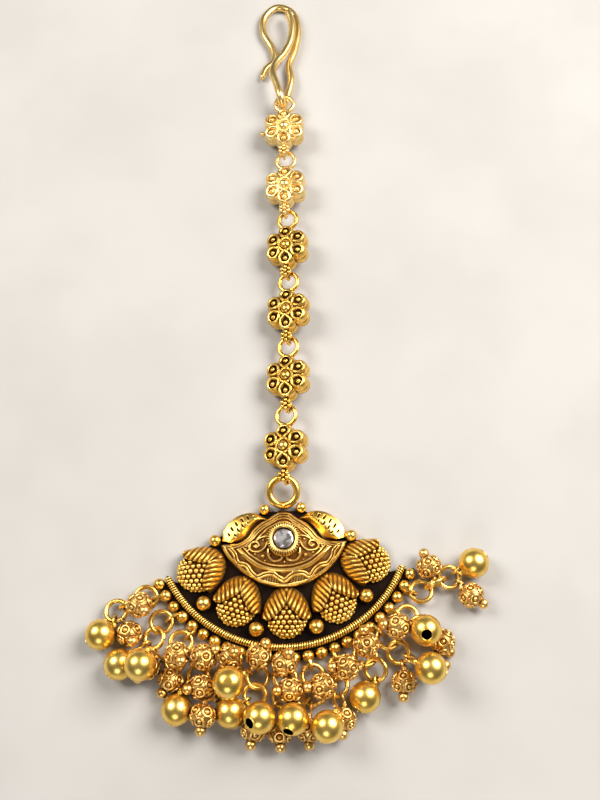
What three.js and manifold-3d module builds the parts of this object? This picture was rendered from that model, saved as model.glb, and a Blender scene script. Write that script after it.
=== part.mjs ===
// A maang tikka: a forehead and hair ornament of antiqued gold-tone metal, lying on its back.
// Millimetres, +Z up, +Y from the pendant toward the hook.
//
// The centre of the pendant's stone is the local origin of the layout. At the end the whole
// ornament is moved so that its bounding box stands centred on z = 0.

import * as THREE from 'three';
import { mergeVertices } from 'three/addons/utils/BufferGeometryUtils.js';
import Module from 'manifold-3d';

const wasm = await Module();
wasm.setup();
const degrees = THREE.MathUtils.degToRad;
const SLIVER = 0.01;                                     // mm3
const SMALLEST_EDGE = 0.005;

// ---------------------------------------------------------------- driving dimensions (mm)

const PLATE_THICKNESS = 0.9;
const FAN = { x: -0.1, y: 4.27, turn: 2 };               // centre of the fan's arcs, and its turn
const FAN_MIDDLE = -91;                                  // degrees, before the fan's turn
const PLATE = { radius: 22.2, from: -154.5, to: -23.2 };
const COIL = { radius: 20.27, wire: 0.6, from: -153.2, to: -24.4, sink: 0.05 };
const GRANULE = { radius: 0.94, circle: 21.85, count: 24, pitch: 5.5, shift: 1.4, z: 0.98 };

const PLAQUE = { halfWidth: 9.9, top: 5.0, bottom: -6.95 };
const PLAQUE_STEPS = [
  { inset: 0.0, from: 0.6, to: 2.0 },
  { inset: 0.8, from: 1.9, to: 2.9 },
  { inset: 2.0, from: 2.8, to: 3.6 },
];
const LEAF = {
  inner: { x: 2.6, y: 3.8 },
  shoulder: { bendX: 5.4, bendY: 6.6, x: 7.6, y: 4.6 },
  outer: { bendX: 9.4, bendY: 3.2, x: 9.6, y: 0.8 },
  hidden: { x: 4.0, y: 0.4 },                            // behind the plaque
  from: 0.5,
  to: 1.9,
};
const BEZEL = { outer: 2.5, inner: 1.72, bottom: 3.2, seat: 4.3, top: 5.3, chamfer: 0.3 };
const STONE = { radius: 1.52, bottom: 4.45, girdle: 4.95, table: 5.15, tableRadius: 1.2 };

const RING = { radius: 1.62, wire: 0.34 };               // the jump rings and the links' top rings
const EDGE_LOOP = {
  radius: 1.05,
  wire: 0.25,
  circle: 23.05,                                         // of the loops' centres
  bearing: 23.25,                                        // of the points where the rings hang
  z: 1.3,
  pitch: 9.6,
  shift: 0.3,
  follow: 0.45,                                          // how far a loop turns with its ring
};

const LINK_HEIGHT = 2.6;                                 // mid-plane of the flower links
const LINK = { radius: 3.85, rim: 1.15, dome: 2.05, ringAt: 5.5, loopAt: -4.95, sunk: 0.1, solder: 0.6 };
const PETALS = 6;
const PETAL_DEPTH = 0.07;
const BOSS = { top: 1.1, foot: 2.5 };
const ROSETTE = { top: 0.85, foot: 1.05, height: 0.7 };
const LINK_LOOP = { radius: 1.0, wire: 0.24 };
const LINK_PITCH = LINK.ringAt + RING.radius - LINK.loopAt;
const FIRST_LINK_Y = 75.65;
const BIG_RING = { x: -0.15, radius: 2.2, wire: 0.5, lowEnd: 1.3 };
const RING_FOOT = { x: -0.15, y: 5.4, z: 1.2, width: 1.8, length: 2.4, height: 1.0 };

const BALL = { radius: 2.35, wall: 0.3, hole: 0.85 };
const BEAD = { radius: 1.9, tip: 0.72 };
const TIP_REACH = BEAD.radius + BEAD.tip * 0.55;         // from a bead's centre to its tip's
const EYE = { radius: 0.82, wire: 0.2, shift: 0.05 };    // of a ball; shift is from the ring's wire
const BEAD_EYE = { radius: 0.62, wire: 0.22, shift: 0.3 };
const NECK = { wire: 0.3, sunk: 0.15, reach: 0.35 };
const HOOK_WIRE = 0.68;

// The flower links from the hook down: sideways place, and roll about the ornament's length.
const LINKS = [
  { x: -0.3, roll: 4 },
  { x: 0.0, roll: 10 },
  { x: 0.4, roll: 18 },
  { x: 0.6, roll: 20 },
  { x: 0.6, roll: 20 },
  { x: 0.3, roll: 20 },
];

// The five buds on the fan: centre, and the direction in which the granulated half points.
const BUDS = [
  { x: -13.1, y: -3.7, heading: 212 },
  { x: -7.4, y: -8.9, heading: 251 },
  { x: 0.1, y: -10.9, heading: 269 },
  { x: 7.6, y: -8.9, heading: 289 },
  { x: 12.8, y: -3.3, heading: 341 },
];
const BUD = { radius: 2.95, height: 2.75, middle: 0.7, hoodFrom: 0.4, hoodTo: 2.8 };

// The hood of a bud, drawn toward its granulated half: outer edge, then inner edge.
const HOOD_OUTER = [
  { x: -4.3, y: 0 },
  { x: -3.6, y: 1.7 },
  { x: -2.1, y: 3.0 },
  { x: -0.3, y: 3.7 },
  { x: 0.7, y: 3.9 },
];
const HOOD_INNER = [
  { x: 1.2, y: 3.0 },
  { x: 0.8, y: 2.1 },
  { x: -0.1, y: 1.1 },
  { x: -1.2, y: 0 },
];

// The plate's upper edge, from the right end of its arc to the left end.
const PLATE_TOP = [
  { x: 18.2, y: -4.6 },
  { x: 16.2, y: -5.0 },
  { x: 15.4, y: -3.4 },
  { x: 14.8, y: -1.6 },
  { x: 12.8, y: -0.8 },
  { x: 11.3, y: 0.4 },
  { x: 10.2, y: 1.3 },
  { x: 3.4, y: 5.3 },
  { x: -3.4, y: 5.3 },
  { x: -10.4, y: 1.3 },
  { x: -11.5, y: 0.3 },
  { x: -12.9, y: -0.8 },
  { x: -14.9, y: -1.8 },
  { x: -15.8, y: -3.6 },
  { x: -16.5, y: -5.5 },
  { x: -18.0, y: -5.3 },
];

// Plain balls on the back plate, between the buds and at the plaque's corners.
const STUDS = [
  { x: -12.6, y: -9.0, z: 1.7, radius: 1.15 },
  { x: -4.6, y: -13.2, z: 1.7, radius: 1.15 },
  { x: 4.6, y: -13.1, z: 1.7, radius: 1.15 },
  { x: 12.5, y: -8.7, z: 1.7, radius: 1.1 },
  { x: -2.9, y: 5.6, z: 1.2, radius: 0.87 },
  { x: 2.9, y: 5.7, z: 1.2, radius: 0.87 },
  { x: -10.8, y: 0.8, z: 1.3, radius: 0.95 },
  { x: 10.6, y: 0.9, z: 1.3, radius: 0.95 },
];

// The fringe, from left to right. swing turns the first jump ring about its edge loop. The last
// ring lies in the direction of heading from the first, at height z, leaning about the line
// between them; with 3 links a third ring stands upright between the two.
const TASSELS = [
  { links: 3, swing: -40, heading: 205, z: 1.4, lean: 10 },
  { links: 2, swing: -25, heading: 250, z: 1.7, lean: 25 },
  { links: 2, swing: -15, heading: 255, z: 1.6, lean: 25 },
  { links: 2, swing: -10, heading: 252, z: 1.6, lean: 25 },
  { links: 2, swing: -5, heading: 245, z: 1.9, lean: 45 },
  { links: 2, swing: 0, heading: 262, z: 1.4, lean: 8 },
  { links: 2, swing: 0, heading: 268, z: 1.4, lean: 8 },
  { links: 2, swing: 0, heading: 272, z: 1.4, lean: 8 },
  { links: 2, swing: 5, heading: 258, z: 1.4, lean: 8 },
  { links: 2, swing: 10, heading: 303, z: 1.6, lean: 25 },
  { links: 2, swing: 15, heading: 304, z: 1.6, lean: 25 },
  { links: 2, swing: 25, heading: 320, z: 1.6, lean: 25 },
  { links: 3, swing: 40, heading: 26, z: 1.4, lean: 10 },
];
const HOLD_TURN = 110;                                   // how far round a ring a drop may hang
const HOLD_STEP = 10;
const HOLD_LOWEST = 1.25;
const LOW_COST = 5;
const FIRST_LEAN = -8;
const UPRIGHT_LEAN = 88;
const UPRIGHT_HEIGHT = RING.radius + RING.wire + 0.02;
const LINKED = 2.64;                                     // between the centres of two linked rings
const LINKED_BY_THIRD = 4.9;                             // between the outer two of three rings

// The smooth balls: place, and the direction of the hole (heading about Z, then climb).
const BALLS = [
  { tassel: 0, x: -27.7, y: -14.2, z: 2.35, heading: 213, climb: -10 },
  { tassel: 1, x: -24.6, y: -18.6, z: 2.35, heading: 225, climb: -10 },
  { tassel: 2, x: -20.9, y: -19.0, z: 6.1, heading: 240, climb: -25, hold: -70 },
  { tassel: 3, x: -15.7, y: -25.1, z: 2.35, heading: 258, climb: -20, hold: -30 },
  { tassel: 4, x: -7.8, y: -21.6, z: 6.8, heading: 210, climb: 0 },
  { tassel: 5, x: -7.8, y: -25.5, z: 2.35, heading: 297, climb: -20 },
  { tassel: 6, x: -3.3, y: -26.4, z: 5.8, heading: 211, climb: 42, hold: -50 },
  { tassel: 7, x: 1.5, y: -26.6, z: 5.4, heading: 250, climb: 30 },
  { tassel: 8, x: 6.5, y: -27.6, z: 5.4, heading: 240, climb: -20, hold: 0 },
  { tassel: 9, x: 12.2, y: -23.3, z: 2.35, heading: 234, climb: 5 },
  { tassel: 10, x: 21.7, y: -19.5, z: 6.1, heading: 340, climb: -10 },
  { tassel: 11, x: 21.3, y: -13.9, z: 5.0, heading: 262, climb: 66 },
  { tassel: 12, x: 29.5, y: -3.3, z: 2.35, heading: 37, climb: 5, hold: 20 },
];

// The studded beads: ring says on which of the tassel's two rings each hangs.
const BEADS = [
  { tassel: 0, ring: 1, x: -21.8, y: -10.0, z: 4.3, heading: 314, climb: 44 },
  { tassel: 0, ring: 2, x: -23.4, y: -14.0, z: 1.9, heading: 300, climb: 45 },
  { tassel: 1, ring: 2, x: -20.3, y: -18.9, z: 1.9, heading: 228, climb: -5 },
  { tassel: 2, ring: 1, x: -15.8, y: -17.4, z: 4.3, heading: 308, climb: 52 },
  { tassel: 2, ring: 2, x: -16.8, y: -20.9, z: 1.9, heading: 235, climb: 0 },
  { tassel: 3, ring: 1, x: -11.9, y: -17.7, z: 4.3, heading: 28, climb: 10 },
  { tassel: 3, ring: 2, x: -12.1, y: -21.9, z: 2.7, heading: 191, climb: 22 },
  { tassel: 4, ring: 1, x: -7.8, y: -17.8, z: 4.45, heading: 38, climb: 64 },
  { tassel: 4, ring: 2, x: -11.7, y: -26.0, z: 3.6, heading: 262, climb: -10 },
  { tassel: 5, ring: 1, x: -3.6, y: -17.6, z: 4.3, heading: 60, climb: 20 },
  { tassel: 5, ring: 2, x: -4.3, y: -27.9, z: 1.9, heading: 260, climb: 0 },
  { tassel: 6, ring: 1, x: 0.2, y: -18.7, z: 4.6, heading: 62, climb: 48 },
  { tassel: 7, ring: 1, x: 1.1, y: -22.4, z: 4.1, heading: 187, climb: 25 },
  { tassel: 8, ring: 1, x: 5.8, y: -21.9, z: 4.1, heading: 185, climb: 10 },
  { tassel: 6, ring: 2, x: -0.4, y: -28.2, z: 1.9, heading: 272, climb: 0, hold: 30 },
  { tassel: 9, ring: 1, x: 9.5, y: -19.2, z: 4.3, heading: 180, climb: 5 },
  { tassel: 7, ring: 2, x: 3.9, y: -27.9, z: 1.9, heading: 270, climb: -15 },
  { tassel: 10, ring: 1, x: 12.4, y: -15.9, z: 4.3, heading: 100, climb: 25 },
  { tassel: 8, ring: 2, x: 9.0, y: -26.4, z: 1.9, heading: 265, climb: 0, hold: 40 },
  { tassel: 10, ring: 2, x: 18.1, y: -21.1, z: 1.9, heading: 267, climb: 0 },
  { tassel: 10, ring: 2, x: 22.2, y: -18.7, z: 1.9, heading: 0, climb: 0 },
  { tassel: 11, ring: 1, x: 17.2, y: -13.2, z: 4.3, heading: 175, climb: 10 },
  { tassel: 11, ring: 2, x: 24.1, y: -15.2, z: 1.9, heading: 310, climb: -30 },
  { tassel: 12, ring: 1, x: 22.6, y: -3.8, z: 1.9, heading: 110, climb: 5 },
  { tassel: 12, ring: 2, x: 28.9, y: -8.2, z: 1.9, heading: 324, climb: 0, hold: -50 },
];

// The hook's wire, from its curled free end up the left side, down the right side, round the
// first link's ring and back up to the top.
const HOOK_ROUTE = [
  { x: -4.5, y: 88.6, z: 0.8 },
  { x: -3.9, y: 90.3, z: 0.7 },
  { x: -2.4, y: 92.2, z: 0.7 },
  { x: -2.7, y: 95.0, z: 0.7 },
  { x: -4.4, y: 98.6, z: 0.7 },
  { x: -4.3, y: 102.3, z: 0.7 },
  { x: -1.9, y: 104.7, z: 0.7 },
  { x: 0.9, y: 103.6, z: 0.7 },
  { x: 2.1, y: 99.8, z: 0.7 },
  { x: 1.4, y: 94.2, z: 0.8 },
  { x: 0.5, y: 91.0, z: 1.0 },
  { x: 0.9, y: 87.6, z: 1.2 },
  { x: 0.2, y: 84.0, z: 1.25 },
  { x: -0.3, y: 81.9, z: 1.4 },
  { x: -0.6, y: 81.0, z: 2.65 },
  { x: -1.0, y: 81.9, z: 3.9 },
  { x: -1.7, y: 84.5, z: 3.9 },
  { x: -2.5, y: 87.6, z: 3.5 },
  { x: -1.9, y: 90.2, z: 3.0 },
  { x: -0.5, y: 92.6, z: 2.5 },
  { x: 0.7, y: 95.6, z: 2.3 },
  { x: 1.0, y: 99.2, z: 2.3 },
  { x: 0.3, y: 102.2, z: 2.3 },
];

// ---------------------------------------------------------------- small helpers

const at = (row) => new THREE.Vector3(row.x, row.y, row.z);

/** The unit vector with this heading about Z and this climb above the XY plane. */
function direction(heading, climb = 0) {
  const level = Math.cos(degrees(climb));
  return new THREE.Vector3(
    level * Math.cos(degrees(heading)),
    level * Math.sin(degrees(heading)),
    Math.sin(degrees(climb)),
  );
}

/** The closed solid of a three.js geometry. */
function solid(geometry) {
  const bare = geometry.index ? geometry.toNonIndexed() : geometry.clone();
  bare.deleteAttribute('normal');
  bare.deleteAttribute('uv');
  const merged = mergeVertices(bare, 1e-5);
  const made = new wasm.Manifold(new wasm.Mesh({
    numProp: 3,
    vertProperties: Float32Array.from(merged.attributes.position.array),
    triVerts: Uint32Array.from(merged.index.array),
  }));
  if (made.volume() <= 0) throw new Error(`inside out: ${geometry.type}`);
  return made;
}

/** One solid from many that touch, without the slivers that meeting facets leave. */
function join(solids) {
  const whole = solids.reduce((made, piece) => made.add(piece));
  const kept = whole.decompose().filter((piece) => piece.volume() > SLIVER);
  return kept.reduce((made, piece) => made.add(piece)).simplify(SMALLEST_EDGE);
}

/** The three.js geometry of a solid. */
function geometryOf(shape) {
  const mesh = shape.getMesh();
  const geometry = new THREE.BufferGeometry();
  geometry.setAttribute('position', new THREE.BufferAttribute(new Float32Array(mesh.vertProperties), 3));
  geometry.setIndex(new THREE.BufferAttribute(new Uint32Array(mesh.triVerts), 1));
  geometry.computeVertexNormals();
  return geometry;
}

/** Turns a geometry modelled along +Z so that it points along axis, then moves it. */
function aim(geometry, axis, place) {
  const turn = new THREE.Quaternion().setFromUnitVectors(new THREE.Vector3(0, 0, 1), axis);
  return geometry.applyQuaternion(turn).translate(place.x, place.y, place.z);
}

function sphere(radius, place, detail = 1) {
  return new THREE.IcosahedronGeometry(radius, detail).translate(place.x, place.y, place.z);
}

/** A round wire bent into a closed ring; axis is the line that runs through the ring's hole. */
function wireRing(radius, wire, axis, place, around = 12, sides = 4) {
  return aim(new THREE.TorusGeometry(radius, wire, sides, around), axis, place);
}

/** A closed outline with straight sides between its corners. */
const outlineOf = (corners) => new THREE.Shape(corners.map(({ x, y }) => new THREE.Vector2(x, y)));

/** A flat piece of sheet, from one height to another. */
function slab(outline, from, to, curveSegments = 8) {
  const depth = to - from;
  return new THREE.ExtrudeGeometry(outline, { depth, bevelEnabled: false, curveSegments })
    .translate(0, 0, from);
}

/** A round wire along a smooth route. */
function wireAlong(points, wire, steps, sides = 6) {
  const corners = [];
  for (let i = 0; i < sides; i += 1) {
    const angle = (i / sides) * Math.PI * 2;
    corners.push({ x: wire * Math.cos(angle), y: wire * Math.sin(angle) });
  }
  const route = new THREE.CatmullRomCurve3(points, false, 'centripetal');
  return new THREE.ExtrudeGeometry(outlineOf(corners), { steps, extrudePath: route, bevelEnabled: false });
}

/** A shape turned about Z from rows of radius and height. */
function turned(rows, around) {
  const profile = rows.map(([radius, height]) => new THREE.Vector2(radius, height));
  return new THREE.LatheGeometry(profile, around).rotateX(Math.PI / 2);
}

// ---------------------------------------------------------------- materials

const finish = (color, roughness, metalness) => () => (
  new THREE.MeshStandardMaterial({ color, roughness, metalness })
);
const antiqueGold = finish(0xb98a3c, 0.38, 1);
const brightGold = finish(0xe0b04a, 0.25, 1);
const greyGlass = finish(0xd9d8cc, 0.12, 0);

const tikka = new THREE.Group();

function addPiece(name, shape, material) {
  const mesh = new THREE.Mesh(geometryOf(shape), material);
  mesh.name = name;
  tikka.add(mesh);
}

// ---------------------------------------------------------------- hook

addPiece('hook', solid(wireAlong(HOOK_ROUTE.map(at), HOOK_WIRE, 52)), brightGold());

// ---------------------------------------------------------------- flower links

/** The outline of a flower: a circle that swells at each of its six petals. */
function petalOutline() {
  const steps = 24;
  const corners = [];
  for (let i = 0; i < steps; i += 1) {
    const angle = (i / steps) * Math.PI * 2;
    const swell = 1 - PETAL_DEPTH * (1 - Math.cos(PETALS * (angle - Math.PI / 2)));
    corners.push({ x: LINK.radius * swell * Math.cos(angle), y: LINK.radius * swell * Math.sin(angle) });
  }
  return outlineOf(corners);
}

/** Two domed halves back to back, with a top ring, a bottom loop and a rosette on the loop. */
function flowerLink() {
  const { rim, dome, sunk, radius, ringAt, loopAt } = LINK;
  const boss = new THREE.CylinderGeometry(BOSS.top, BOSS.foot, dome - rim + sunk, 10)
    .rotateX(Math.PI / 2)
    .translate(0, 0, (dome + rim - sunk) / 2);
  const rosette = new THREE.CylinderGeometry(ROSETTE.top, ROSETTE.foot, ROSETTE.height, 7)
    .rotateX(Math.PI / 2)
    .translate(0, loopAt, LINK_LOOP.radius + ROSETTE.height / 2);
  const upright = direction(0, 90);
  const sideways = direction(0);
  return join([
    solid(slab(petalOutline(), -rim, rim)),
    solid(boss),
    solid(boss.clone().rotateY(Math.PI)),
    solid(wireRing(RING.radius, RING.wire, upright, new THREE.Vector3(0, ringAt, 0))),
    solid(wireRing(LINK_LOOP.radius, LINK_LOOP.wire, sideways, new THREE.Vector3(0, loopAt, 0), 10)),
    solid(sphere(LINK.solder, new THREE.Vector3(0, sunk / 2 - radius, 0), 0)),
    solid(rosette),
  ]);
}

const flower = flowerLink();
LINKS.forEach((link, i) => {
  const y = FIRST_LINK_Y - i * LINK_PITCH;
  const placed = flower.rotate([0, -link.roll, 0]).translate([link.x, y, LINK_HEIGHT]);
  addPiece(`flower_link_${i + 1}`, placed, i < 2 ? brightGold() : antiqueGold());
});

// ---------------------------------------------------------------- pendant

/** A point on a circle about the fan's centre, in the pendant's own frame. */
function onFan(radius, angle, z) {
  const a = degrees(angle);
  return new THREE.Vector3(FAN.x + radius * Math.cos(a), FAN.y + radius * Math.sin(a), z);
}

/** The eye-shaped outline of the plaque: an ogee above and one arc below, drawn inset. */
function plaqueOutline(inset) {
  const half = PLAQUE.halfWidth - inset * 1.6;
  const top = PLAQUE.top - inset * 1.2;
  const bottom = PLAQUE.bottom + inset;
  const outline = new THREE.Shape();
  outline.moveTo(-half, 0);
  outline.quadraticCurveTo(-half * 0.55, bottom * 1.02, 0, bottom);
  outline.quadraticCurveTo(half * 0.55, bottom * 1.02, half, 0);
  outline.bezierCurveTo(half * 0.6, top * 0.3, half * 0.45, top * 0.95, 0, top);
  outline.bezierCurveTo(-half * 0.45, top * 0.95, -half * 0.6, top * 0.3, -half, 0);
  return outline;
}

/** The flat back plate: a fan with an arc below, and a low gable behind the plaque. */
function backPlate() {
  const outline = new THREE.Shape();
  outline.absarc(FAN.x, FAN.y, PLATE.radius, degrees(PLATE.from), degrees(PLATE.to), false);
  PLATE_TOP.forEach(({ x, y }) => outline.lineTo(x, y));
  outline.closePath();
  return slab(outline, 0, PLATE_THICKNESS, 28);
}

/** A half leaf that looks out from behind the plaque; side is -1 on the left, 1 on the right. */
function leaf(side) {
  const { inner, shoulder, outer, from, to } = LEAF;
  const outline = new THREE.Shape();
  outline.moveTo(side * inner.x, inner.y);
  outline.quadraticCurveTo(side * shoulder.bendX, shoulder.bendY, side * shoulder.x, shoulder.y);
  outline.quadraticCurveTo(side * outer.bendX, outer.bendY, side * outer.x, outer.y);
  outline.lineTo(side * LEAF.hidden.x, LEAF.hidden.y);
  outline.closePath();
  return slab(outline, from, to, 5);
}

/** One bud: a low dome for the granules, and a two-leaf hood on its inner side. */
function bud(row) {
  const dome = new THREE.SphereGeometry(BUD.radius, 12, 6)
    .scale(1, 1, BUD.height / BUD.radius)
    .translate(BUD.middle, 0, PLATE_THICKNESS - 0.1);
  const half = [...HOOD_OUTER, ...HOOD_INNER];
  const twin = half.slice(1, -1).reverse().map(({ x, y }) => ({ x, y: -y }));
  const hood = slab(outlineOf([...half, ...twin]), BUD.hoodFrom, BUD.hoodTo);
  const abovePlate = new THREE.BoxGeometry(20, 20, 6).translate(0, 0, BUD.hoodFrom + 3);
  return solid(dome).intersect(solid(abovePlate)).add(solid(hood))
    .rotate([0, 0, row.heading])
    .translate([row.x, row.y, 0]);
}

/** The coiled rim, as the round bar that its turns enclose. */
function coilRim() {
  const count = 24;
  const height = PLATE_THICKNESS + COIL.wire - COIL.sink;
  const points = [];
  for (let i = 0; i <= count; i += 1) {
    points.push(onFan(COIL.radius, COIL.from + ((COIL.to - COIL.from) * i) / count, height));
  }
  return wireAlong(points, COIL.wire, 32, 5);
}

function granuleRow() {
  const first = FAN_MIDDLE + GRANULE.shift - (GRANULE.pitch * (GRANULE.count - 1)) / 2;
  const row = [];
  for (let i = 0; i < GRANULE.count; i += 1) {
    row.push(sphere(GRANULE.radius, onFan(GRANULE.circle, first + i * GRANULE.pitch, GRANULE.z), 0));
  }
  return row;
}

/** The angle of each edge loop about the fan's centre, in the pendant's own frame. */
const loopAngle = (i) => (
  FAN_MIDDLE + EDGE_LOOP.shift + (i - (TASSELS.length - 1) / 2) * EDGE_LOOP.pitch
);

/** The loop's plane is turned a little toward the ring that hangs in it. */
function edgeLoop(row, i) {
  const angle = loopAngle(i);
  const axis = direction(angle + 90 + row.swing * EDGE_LOOP.follow);
  const place = onFan(EDGE_LOOP.circle, angle, EDGE_LOOP.z);
  return wireRing(EDGE_LOOP.radius, EDGE_LOOP.wire, axis, place, 8);
}

/** The bezel: a cup with a flat seat under the stone. */
function bezel() {
  const { outer, inner, bottom, seat, top, chamfer } = BEZEL;
  return turned([
    [0, bottom],
    [outer, bottom],
    [outer, top - chamfer],
    [outer - chamfer, top],
    [inner, top],
    [inner, seat],
    [0, seat],
  ], 20);
}

/** The big ring at the top leans up from the plate to the height of the links. */
function bigRing() {
  const { x, radius, wire, lowEnd } = BIG_RING;
  const lean = Math.asin((LINK_HEIGHT - lowEnd) / (2 * radius));
  const topY = FIRST_LINK_Y - (LINKS.length - 1) * LINK_PITCH + LINK.loopAt;
  const middle = new THREE.Vector3(x, topY - radius * Math.cos(lean), (LINK_HEIGHT + lowEnd) / 2);
  const axis = new THREE.Vector3(0, -Math.sin(lean), Math.cos(lean));
  return wireRing(radius, wire, axis, middle, 16, 5);
}

/** The pad of solder that holds the big ring to the plate. */
function ringFoot() {
  const { x, y, z, width, length, height } = RING_FOOT;
  return new THREE.BoxGeometry(width, length, height).translate(x, y, z);
}

function pendantBody() {
  const onPlate = [
    solid(backPlate()),
    solid(leaf(-1)),
    solid(leaf(1)),
    solid(coilRim()),
    solid(bezel()),
    ...PLAQUE_STEPS.map((step) => solid(slab(plaqueOutline(step.inset), step.from, step.to))),
    ...BUDS.map(bud),
    ...STUDS.map((stud) => solid(sphere(stud.radius, at(stud), stud.radius > 1 ? 1 : 0))),
    ...granuleRow().map(solid),
    ...TASSELS.map((row, i) => solid(edgeLoop(row, i))),
  ];
  return join(onPlate)
    .rotate([0, 0, FAN.turn])
    .add(solid(bigRing()))
    .add(solid(ringFoot()));
}

addPiece('pendant_body', pendantBody(), antiqueGold());

const stone = turned([
  [0, STONE.bottom],
  [STONE.radius, STONE.bottom],
  [STONE.radius, STONE.girdle],
  [STONE.tableRadius, STONE.table],
  [0, STONE.table],
], 20);
addPiece('stone', solid(stone), greyGlass());

// ---------------------------------------------------------------- fringe

/** Where a tassel bears in its edge loop once the pendant is turned. */
function loopPlace(i) {
  return onFan(EDGE_LOOP.bearing, loopAngle(i), EDGE_LOOP.z)
    .applyAxisAngle(new THREE.Vector3(0, 0, 1), degrees(FAN.turn));
}

/** The jump rings of a tassel, each as { place, axis, out }, where out points away from its holder. */
function tasselRings(row, i) {
  const loop = loopPlace(i);
  const out = direction(loopAngle(i) + FAN.turn + row.swing);
  const line = direction(row.heading);
  const lean = (angle) => new THREE.Vector3(0, 0, 1).applyAxisAngle(line, degrees(angle));
  const first = loop.clone().addScaledVector(out, RING.radius);
  const reach = row.links === 3 ? LINKED_BY_THIRD : LINKED;
  const last = first.clone().addScaledVector(line, reach).setZ(row.z);
  const between = first.clone().lerp(last, 0.5).setZ(UPRIGHT_HEIGHT);
  const made = [
    { place: first, axis: lean(FIRST_LEAN), out },
    { place: last, axis: lean(row.lean), out: line },
  ];
  if (row.links === 3) {
    made.push({ place: between, axis: lean(UPRIGHT_LEAN), out: line });
  }
  return made;
}

/** The best point of a ring's wire for a neck: near it, away from the holder, off the ground. */
function holdOn(ring, neck, turnGiven) {
  const out = ring.out.clone().addScaledVector(ring.axis, -ring.out.dot(ring.axis)).normalize();
  const side = new THREE.Vector3().crossVectors(ring.axis, out);
  let best = null;
  for (let turn = -HOLD_TURN; turn <= HOLD_TURN; turn += HOLD_STEP) {
    const place = ring.place.clone()
      .addScaledVector(out, RING.radius * Math.cos(degrees(turn)))
      .addScaledVector(side, RING.radius * Math.sin(degrees(turn)));
    const tooLow = Math.max(0, HOLD_LOWEST - place.z);
    const cost = turnGiven === undefined
      ? place.distanceTo(neck) + LOW_COST * tooLow
      : Math.abs(turn - turnGiven);
    if (!best || cost < best.cost) {
      best = { place, cost };
    }
  }
  return best.place;
}

/** The wire of a drop: from its neck to an eye round the ring's wire at hold. */
function neckWire(drop, radius, hold, ring, eye) {
  const axis = direction(drop.heading, drop.climb);
  const neck = at(drop).addScaledVector(axis, NECK.sunk - radius);
  const out = at(drop).addScaledVector(axis, -NECK.reach - radius);
  const away = out.clone().sub(hold).normalize();
  const along = new THREE.Vector3().crossVectors(ring.axis, hold.clone().sub(ring.place)).normalize();
  const side = away.clone().addScaledVector(along, -away.dot(along)).normalize();
  const centre = hold.clone().addScaledVector(side, eye.shift);
  const joint = centre.clone().addScaledVector(side, eye.radius);
  return [
    solid(wireRing(eye.radius, eye.wire, along, centre, 8, 3)),
    solid(wireAlong([neck, out, joint], NECK.wire, 2, 4)),
  ];
}

/** Rows of a sphere from the edge of its hole to the far pole. */
function sphereRows(radius, hole, count) {
  const edge = Math.asin(hole / radius);
  const rows = [];
  for (let i = 0; i < count; i += 1) {
    const angle = edge + ((Math.PI - edge) * i) / count;
    rows.push([radius * Math.sin(angle), radius * Math.cos(angle)]);
  }
  rows.push([0, -radius]);
  return rows;
}

/** A hollow ball: up the outside to the hole, and down the inside. */
function ballShell(drop) {
  const { radius, wall, hole } = BALL;
  const outside = sphereRows(radius, hole, 4).reverse();
  const inside = sphereRows(radius - wall, hole, 4);
  const shell = turned([...outside, ...inside], 10);
  return aim(shell, direction(drop.heading, drop.climb), at(drop));
}

/** A point on a drop's axis, this far from its centre toward its tip or hole. */
const onAxis = (drop, reach) => at(drop).addScaledVector(direction(drop.heading, drop.climb), reach);

function ballDrop(drop, ring) {
  const hold = holdOn(ring, onAxis(drop, -BALL.radius), drop.hold);
  return [solid(ballShell(drop)), ...neckWire(drop, BALL.radius, hold, ring, EYE)];
}

function studdedBead(drop, ring) {
  const hold = holdOn(ring, onAxis(drop, -BEAD.radius), drop.hold);
  return [
    solid(sphere(BEAD.radius, at(drop))),
    solid(sphere(BEAD.tip, onAxis(drop, TIP_REACH), 0)),
    ...neckWire(drop, BEAD.radius, hold, ring, BEAD_EYE),
  ];
}

const twoDigits = (n) => String(n).padStart(2, '0');
const ringsOf = TASSELS.map(tasselRings);

BALLS.forEach((drop, i) => {
  const ring = ringsOf[drop.tassel][1];
  addPiece(`ball_drop_${twoDigits(i + 1)}`, join(ballDrop(drop, ring)), brightGold());
});

TASSELS.forEach((row, i) => {
  const rings = ringsOf[i].map(({ axis, place }) => solid(wireRing(RING.radius, RING.wire, axis, place)));
  const beads = BEADS.filter((drop) => drop.tassel === i)
    .map((drop) => studdedBead(drop, ringsOf[i][drop.ring - 1]));
  addPiece(`bead_tassel_${twoDigits(i + 1)}`, join([...rings, ...beads.flat()]), antiqueGold());
});

// ---------------------------------------------------------------- stand on z = 0, centred

const box = new THREE.Box3().setFromObject(tikka);
const centre = box.getCenter(new THREE.Vector3());
tikka.children.forEach((mesh) => mesh.geometry.translate(-centre.x, -centre.y, -box.min.z));

export default tikka;
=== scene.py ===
# %% [markdown]
# # A maang tikka
# A maang tikka is worn on the parting of the hair. A hook holds it in the hair, a chain of small
# flower links runs down the parting, and a fan-shaped pendant lies on the forehead with a fringe
# of small drops below it. This one is cast and soldered from brass, plated gold and then
# darkened in its hollows, which is called an antique finish.
#
# The part was first drawn as plain solids. This lesson loads those solids as a fixed frame and
# makes a detailed piece for each of them, in the same place and of the same size.

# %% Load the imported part
import math

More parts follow.
